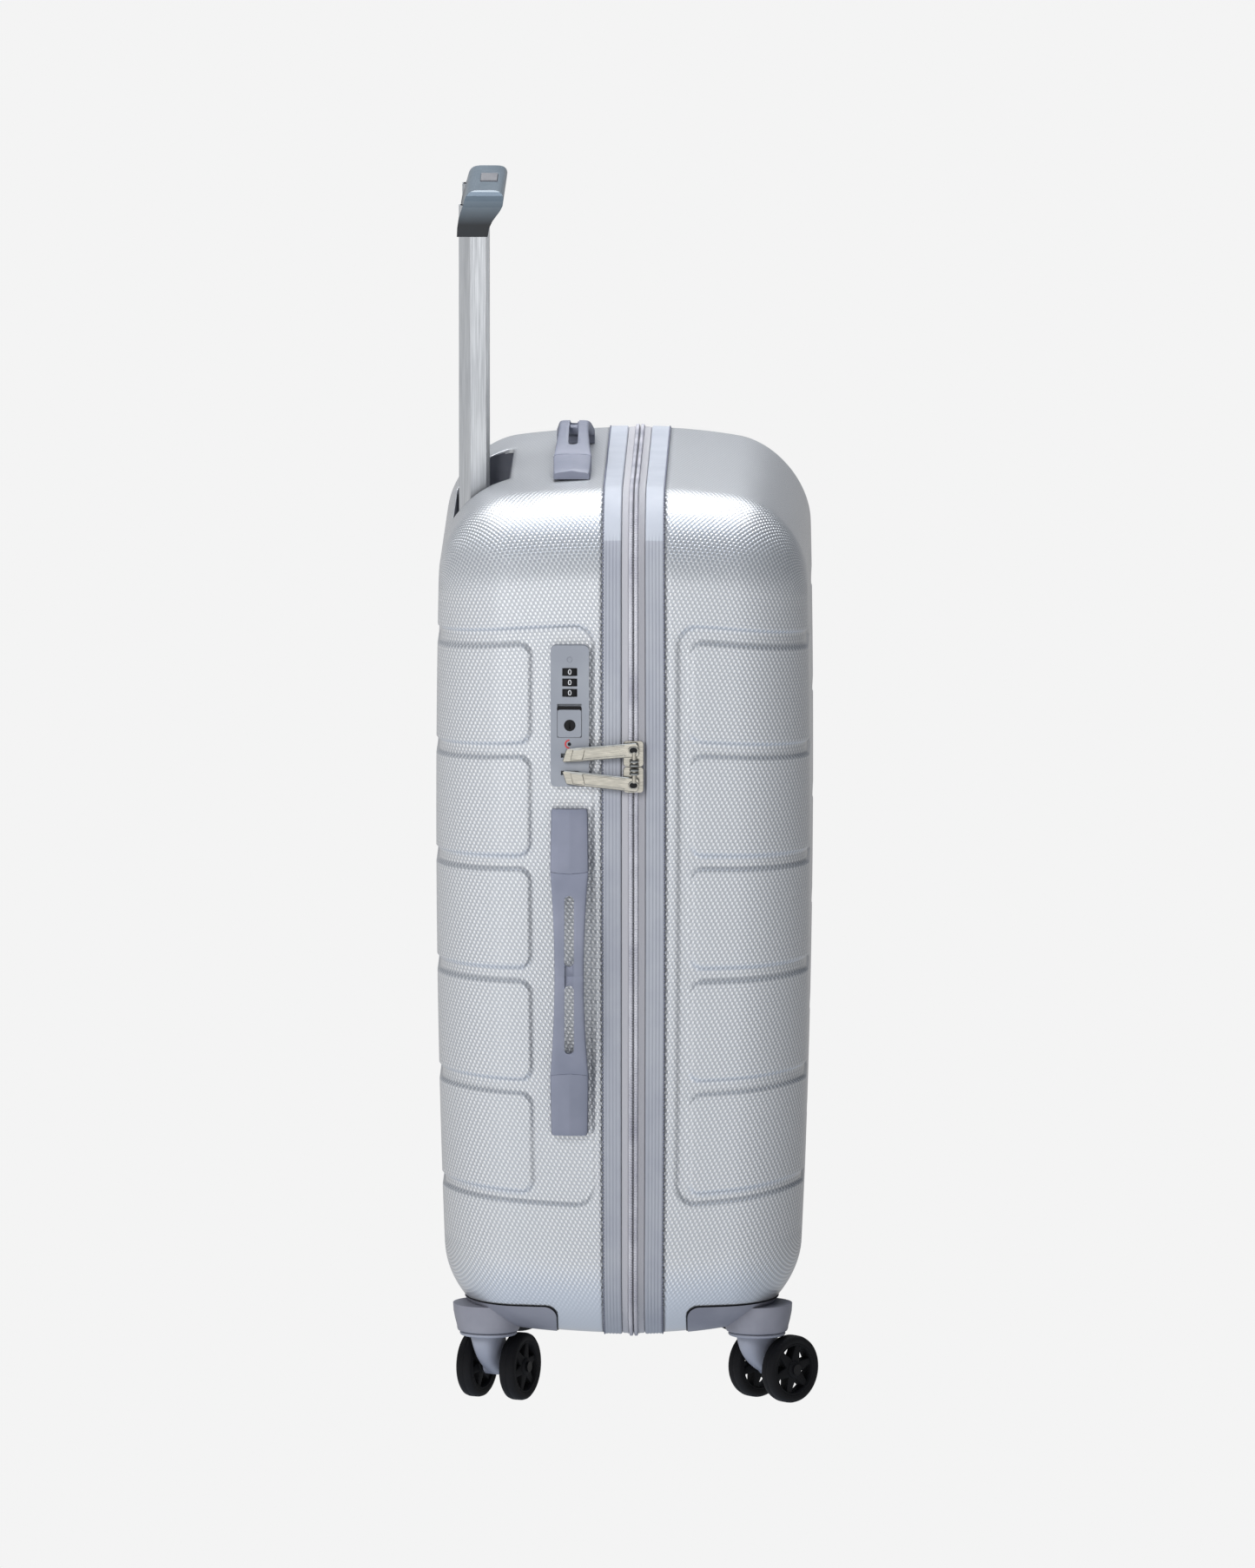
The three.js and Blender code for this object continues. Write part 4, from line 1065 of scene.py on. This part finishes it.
def pull_parts(direction):
    """Flat pull with a slanted tip: its pin at the origin, its length along -X and its face up Z."""
    d = direction
    tip = -PULL_LENGTH
    upper_back, lower_back = (3.2, 0.0) if d > 0 else (0.0, 3.2)
    outline = (arc(0.6, PULL_HALF - 2.4, 2.4, 0, 90, 5) + [(-14, PULL_HALF), (tip + 12, PULL_HALF)]
               + [(tip + 1.0 + upper_back, PULL_HALF - 0.3), (tip + upper_back, PULL_HALF - 1.3),
                  (tip + lower_back, -PULL_HALF + 1.3), (tip + 1.0 + lower_back, -PULL_HALF + 0.3)]
               + [(tip + 12, -PULL_HALF), (-14, -PULL_HALF)]
               + arc(0.6, -PULL_HALF + 2.4, 2.4, 270, 360, 5))
    plate = plate_rings(outline, [(-1.1, 0.4), (-0.7, 0.0), (0.6, 0.0), (1.1, 0.5)])
    rail = []
    for low, high in ((-PULL_HALF + 0.7, -PULL_HALF + 2.0), (PULL_HALF - 2.0, PULL_HALF - 0.7)):
        bar = rounded_rectangle(tip + 15, -7, low, high, 0.6, 3)
        rail.append(sheet_loft(plate_rings(bar, [(1.0, 0.0), (1.35, 0.05), (1.55, 0.3)])))
    slope = 3.2 * d
    head = [(tip + 7.2 - slope * 0.42, -PULL_HALF + 1.2), (tip + 16 - slope * 0.4, -PULL_HALF + 1.2),
            (tip + 16 + slope * 0.4, PULL_HALF - 1.2), (tip + 7.2 + slope * 0.42, PULL_HALF - 1.2)]
    head = sheet_loft(plate_rings(head, [(1.0, -0.4), (1.6, 0.4)]))
    return [sheet_loft(plate), head, *rail]


def torus(centre, radius, thick, squash=1.0):
    """A ring round Y, squash times as wide as it is tall."""
    return closed_loft([[(centre[0] + (radius + thick * c) * around_x * squash, centre[1] + thick * s,
                          centre[2] + (radius + thick * c) * around_z) for c, s in circle(10)]
                        for around_x, around_z in circle(28)])


def build_sliders():
    middle_z = (box_mm("zip_slider_upper")[0][2] + box_mm("zip_slider_lower")[1][2]) / 2
    for end, direction in (("upper", 1), ("lower", -1)):
        pin = joint_place(f"pull_{end}_swing")
        turn = Matrix.Rotation(-PULL_TILT, 4, "Z") @ Matrix.Rotation(-direction * PULL_SLANT, 4, "Y")
        flat = axes_matrix((0, 0, 0), Vector((1, 0, 0)), Vector((0, 0, 1)), Vector((0, -1, 0)))
        place = Matrix.Translation(Vector(pin)) @ turn @ flat
        local_piece(f"pull_{end}_plate", pull_parts(direction), place, "pull", f"pull_{end}",
                    (f"zip_pull_{end}",), 25)
        eye_x = pin[0] - 0.9
        eye_ring = torus((eye_x, pin[1] - 1.3, pin[2]), 2.5, 0.5, 1.35)
        local_piece(f"pull_{end}_eyelet", [eye_ring], STRAIGHT, "pull", f"pull_{end}")
        # a black disc filling the eyelet's hole: painted shade seen through the hole
        eye = [[(eye_x + 2.5 * 1.35 * q * c, y, pin[2] + 2.5 * q * s) for c, s in circle(24)]
               for q, y in ((1.0, pin[1] - 0.9), (1.0, pin[1] - 1.24), (0.9, pin[1] - 1.28))]
        local_piece(f"pull_{end}_eye", [sheet_loft(eye)], STRAIGHT, "black", f"pull_{end}")
        low, high = box_mm(f"zip_slider_{end}")
        plate = rounded_rectangle(PARTING_X - 7.6, PARTING_X + 7.6, low[2], high[2], 2.2, 5)
        depth = high[1] - low[1]
        body = [[(PARTING_X + (u - PARTING_X) * q, high[1] - depth * share, v) for u, v in plate]
                for q, share in ((0.96, 0.0), (1.0, 0.08), (1.0, 0.22), (0.93, 0.32))]
        cord_x = PARTING_X + 0.6
        neck_low, neck_high = sorted((middle_z + direction * 0.4, pin[2] - direction * 1.2))
        levels = ((1.3, neck_low), (1.7, neck_low + 0.5), (1.7, neck_high - 0.5), (1.3, neck_high))
        neck = [[(cord_x + r * c, pin[1] - 0.4 + r * s, z) for c, s in circle(16)] for r, z in levels]
        knots = []
        for step in (1.7, 4.6):
            z = middle_z + direction * step
            knot = [[(cord_x + r * 1.25 * c, pin[1] - 0.6 + r * 0.8 * s, z + dz) for c, s in circle(20)]
                    for r, dz in ((1.6, -1.25), (2.5, -0.9), (2.9, 0), (2.5, 0.9), (1.6, 1.25))]
            knots.append(sheet_loft(knot))
        corners = ((-1, neck_low + 1), (1, neck_low + 1), (1, neck_high - 1), (-1, neck_high - 1))
        post = [[(cord_x + w * side, y, z) for side, z in corners]
                for w, y in ((2.0, high[1] - depth * 0.3), (1.2, pin[1] - 0.2))]
        local_piece(f"slider_{end}_body", [sheet_loft(body), sheet_loft(neck), sheet_loft(post), *knots],
                    STRAIGHT, "pull", f"slider_{end}", (f"zip_slider_{end}",), 35)


# ------------------------------------------------------------ lock digits and marks

def dial_digits(number):
    """The digits 0 to 9 raised round one dial, with 0 to the outside."""
    low, high = box_mm(f"lock_dial_{number}")
    centre = (low + high) / 2
    radius = (high[0] - low[0]) / 2
    vertices, faces = [], []
    for digit in range(10):
        curve = bpy.data.curves.new(f"digit_{digit}", "FONT")
        curve.body = str(digit)
        curve.size = 5.6
        curve.extrude = 0.12
        curve.align_x = "CENTER"
        curve.align_y = "CENTER"
        curve.resolution_u = 3
        text = new_object(f"digit_{digit}", curve)
        bpy.context.view_layer.update()
        graph = bpy.context.evaluated_depsgraph_get()
        mesh = bpy.data.meshes.new_from_object(text.evaluated_get(graph))
        bpy.data.objects.remove(text)
        shift = len(vertices)
        for vertex in mesh.vertices:
            x, y, z = vertex.co
            angle = math.radians(digit * 36) + x / radius
            reach = radius + 0.02 + z
            vertices.append((centre[0] + reach * math.sin(angle), centre[1] - reach * math.cos(angle),
                             (low[2] + high[2]) / 2 + y))
        faces += [tuple(v + shift for v in polygon.vertices) for polygon in mesh.polygons]
        bpy.data.meshes.remove(mesh)
    mesh_piece(f"dial_digits_{number}", vertices, faces, "digit", f"dial_{number}", smooth=False)


def build_lock_marks():
    for number in (1, 2, 3):
        dial_digits(number)
    face = LOCK_FACE_Y - 0.05
    low, high = box_mm("lock_button")
    centre_x, centre_z = (low[0] + high[0]) / 2, low[2] - 5.2
    half_ring = []
    for k in range(17):
        angle = math.pi * (0.5 + k / 16)
        reach = [(2.9 + 0.6 * c, face + 0.3 * s) for c, s in circle(8)]
        half_ring.append([(centre_x + r * math.cos(angle), y, centre_z + r * math.sin(angle))
                          for r, y in reach])
    local_piece("lock_red_mark", [sheet_loft(half_ring)], STRAIGHT, "red", "root")
    disc = [[(centre_x + r * c, y, centre_z + r * s) for c, s in circle(20)]
            for r, y in ((1.3, face + 0.3), (1.3, face - 0.15), (1.1, face - 0.2))]
    local_piece("lock_mark_centre", [sheet_loft(disc)], STRAIGHT, "black", "root")
    # a black sheet above the lock button: painted shade in the gap between the button and the lock case
    gap = rounded_rectangle(low[0] - 0.5, high[0] + 0.5, high[2] - 1.2, high[2] + 2.6, 1.8, 5)
    shade = [[(x, y, z) for x, z in gap] for y in (face + 0.4, face - 0.04)]
    local_piece("lock_button_gap_shade", [sheet_loft(shade)], STRAIGHT, "black", "root")
    pin_ring = torus((centre_x, face, box_mm("lock_dial_1")[1][2] + 6.6), 1.9, 0.28)
    local_piece("lock_pin_ring", [pin_ring], STRAIGHT, "lock", "root")


build_housings()
build_casters()
build_handles()
build_sliders()
build_lock_marks()


# ------------------------------------------------------------ stage, lights and camera

def stage_object(name, mesh):
    """Floor or backdrop: the camera sees it as one even pale tone, and it throws no light of its own."""
    piece = new_object(name, mesh)
    piece.data.materials.append(stage_paint)
    for ray in ("visible_diffuse", "visible_glossy", "visible_transmission", "visible_shadow"):
        setattr(piece, ray, False)


def pale_paint():
    n = material_nodes("pale_paint")
    return n.finish((0, 0, 0, 1), 0.5, Specular_IOR_Level=0.0, Emission_Color=srgb(244, 244, 244),
                    Emission_Strength=1.0)


stage_paint = pale_paint()


def build_stage():
    size = 44.0
    mesh = bpy.data.meshes.new("floor")
    corners = [(-size, -size, 0), (size, -size, 0), (size, size, 0), (-size, size, 0)]
    mesh.from_pydata(corners, [], [(0, 1, 2, 3)])
    stage_object("floor", mesh)
    dome = bpy.data.meshes.new("backdrop")
    work = bmesh.new()
    bmesh.ops.create_icosphere(work, subdivisions=4, radius=45.0)
    work.to_mesh(dome)
    work.free()
    stage_object("backdrop", dome)


OVERHEAD = 2.6
FRONT_GLOW = 0.92
SKY_GLOW = 0.24
FLOOR_GLOW = 1.0
AROUND_BACK = 0.45
AROUND_FRONT = 1.30


def build_lights():
    """Studio light: a surround, brightest overhead and in front on the left, and three area lights."""
    world = bpy.data.worlds.new("studio")
    bpy.context.scene.world = world
    n = Nodes(world)
    axes = n.add("ShaderNodeSeparateXYZ")
    n.link(n.add("ShaderNodeTexCoord").outputs["Generated"], axes.inputs[0])
    x, y, z = axes.outputs
    overhead = n.span(z, 0.90, 0.985, 0.0, OVERHEAD)
    facing = n.math("ADD", n.math("MULTIPLY", y, -0.87), n.math("MULTIPLY", x, -0.50))
    facing = n.span(facing, -1.0, 1.0, AROUND_BACK, AROUND_FRONT)
    low_edge = n.span(z, -0.62, -0.22, FLOOR_GLOW, FRONT_GLOW)
    high_edge = n.span(z, -0.02, 0.16, 1.0, SKY_GLOW)
    front = n.math("MULTIPLY", n.math("MULTIPLY", low_edge, high_edge), facing)
    strength = n.math("ADD", front, overhead)
    background = world.node_tree.nodes["Background"]
    neutral, cool = (1.0, 0.985, 0.965, 1), (0.76, 0.85, 1.0, 1)
    upper = n.blend(n.span(z, -0.05, 0.25), neutral, cool)
    n.link(n.blend(n.span(z, -0.7, -0.35), cool, upper), background.inputs[0])
    n.link(strength, background.inputs[1])
    area_light("overhead", (-0.05, 0.44, 1.75), (0, 0.0, 0.6), (1.6, 1.1), 27)
    area_light("high_front", (-0.75, -1.55, 1.30), (-0.05, -0.2, 0.55), (0.9, 0.7), 30, False)
    area_light("front_panel", (-0.55, -2.2, 0.50), (0, -0.2, 0.5), (1.7, 0.7), 4.2)


def area_light(name, place, target, size, power, glossy=True):
    data = bpy.data.lights.new(name, "AREA")
    data.shape = "RECTANGLE"
    data.size, data.size_y = size
    data.energy = power
    light = new_object(name, data)
    light.location = place
    light.visible_glossy = glossy
    light.rotation_euler = (Vector(target) - Vector(place)).to_track_quat("-Z", "Y").to_euler()


def build_camera():
    azimuth, elevation, distance = math.radians(0.8), math.radians(8.45), 20.0
    pixels_high, pixels_per_mm = 1806, 1.578
    near_face = trim_back_low[1] + TRIM_PROUD
    target = Vector((3.9 * MM, near_face * MM, 467.6 * MM))
    away = Vector((math.sin(azimuth) * math.cos(elevation), -math.cos(azimuth) * math.cos(elevation),
                   math.sin(elevation)))
    data = bpy.data.cameras.new("camera")
    data.sensor_width = 36.0
    data.lens = data.sensor_width * distance / (pixels_high / pixels_per_mm * MM)
    data.clip_end = 100
    camera = new_object("camera", data)
    camera.location = target + away * distance
    camera.rotation_euler = (-away).to_track_quat("-Z", "Y").to_euler()
    bpy.context.scene.camera = camera


build_stage()
build_lights()
build_camera()
bpy.context.scene.view_settings.view_transform = "Standard"
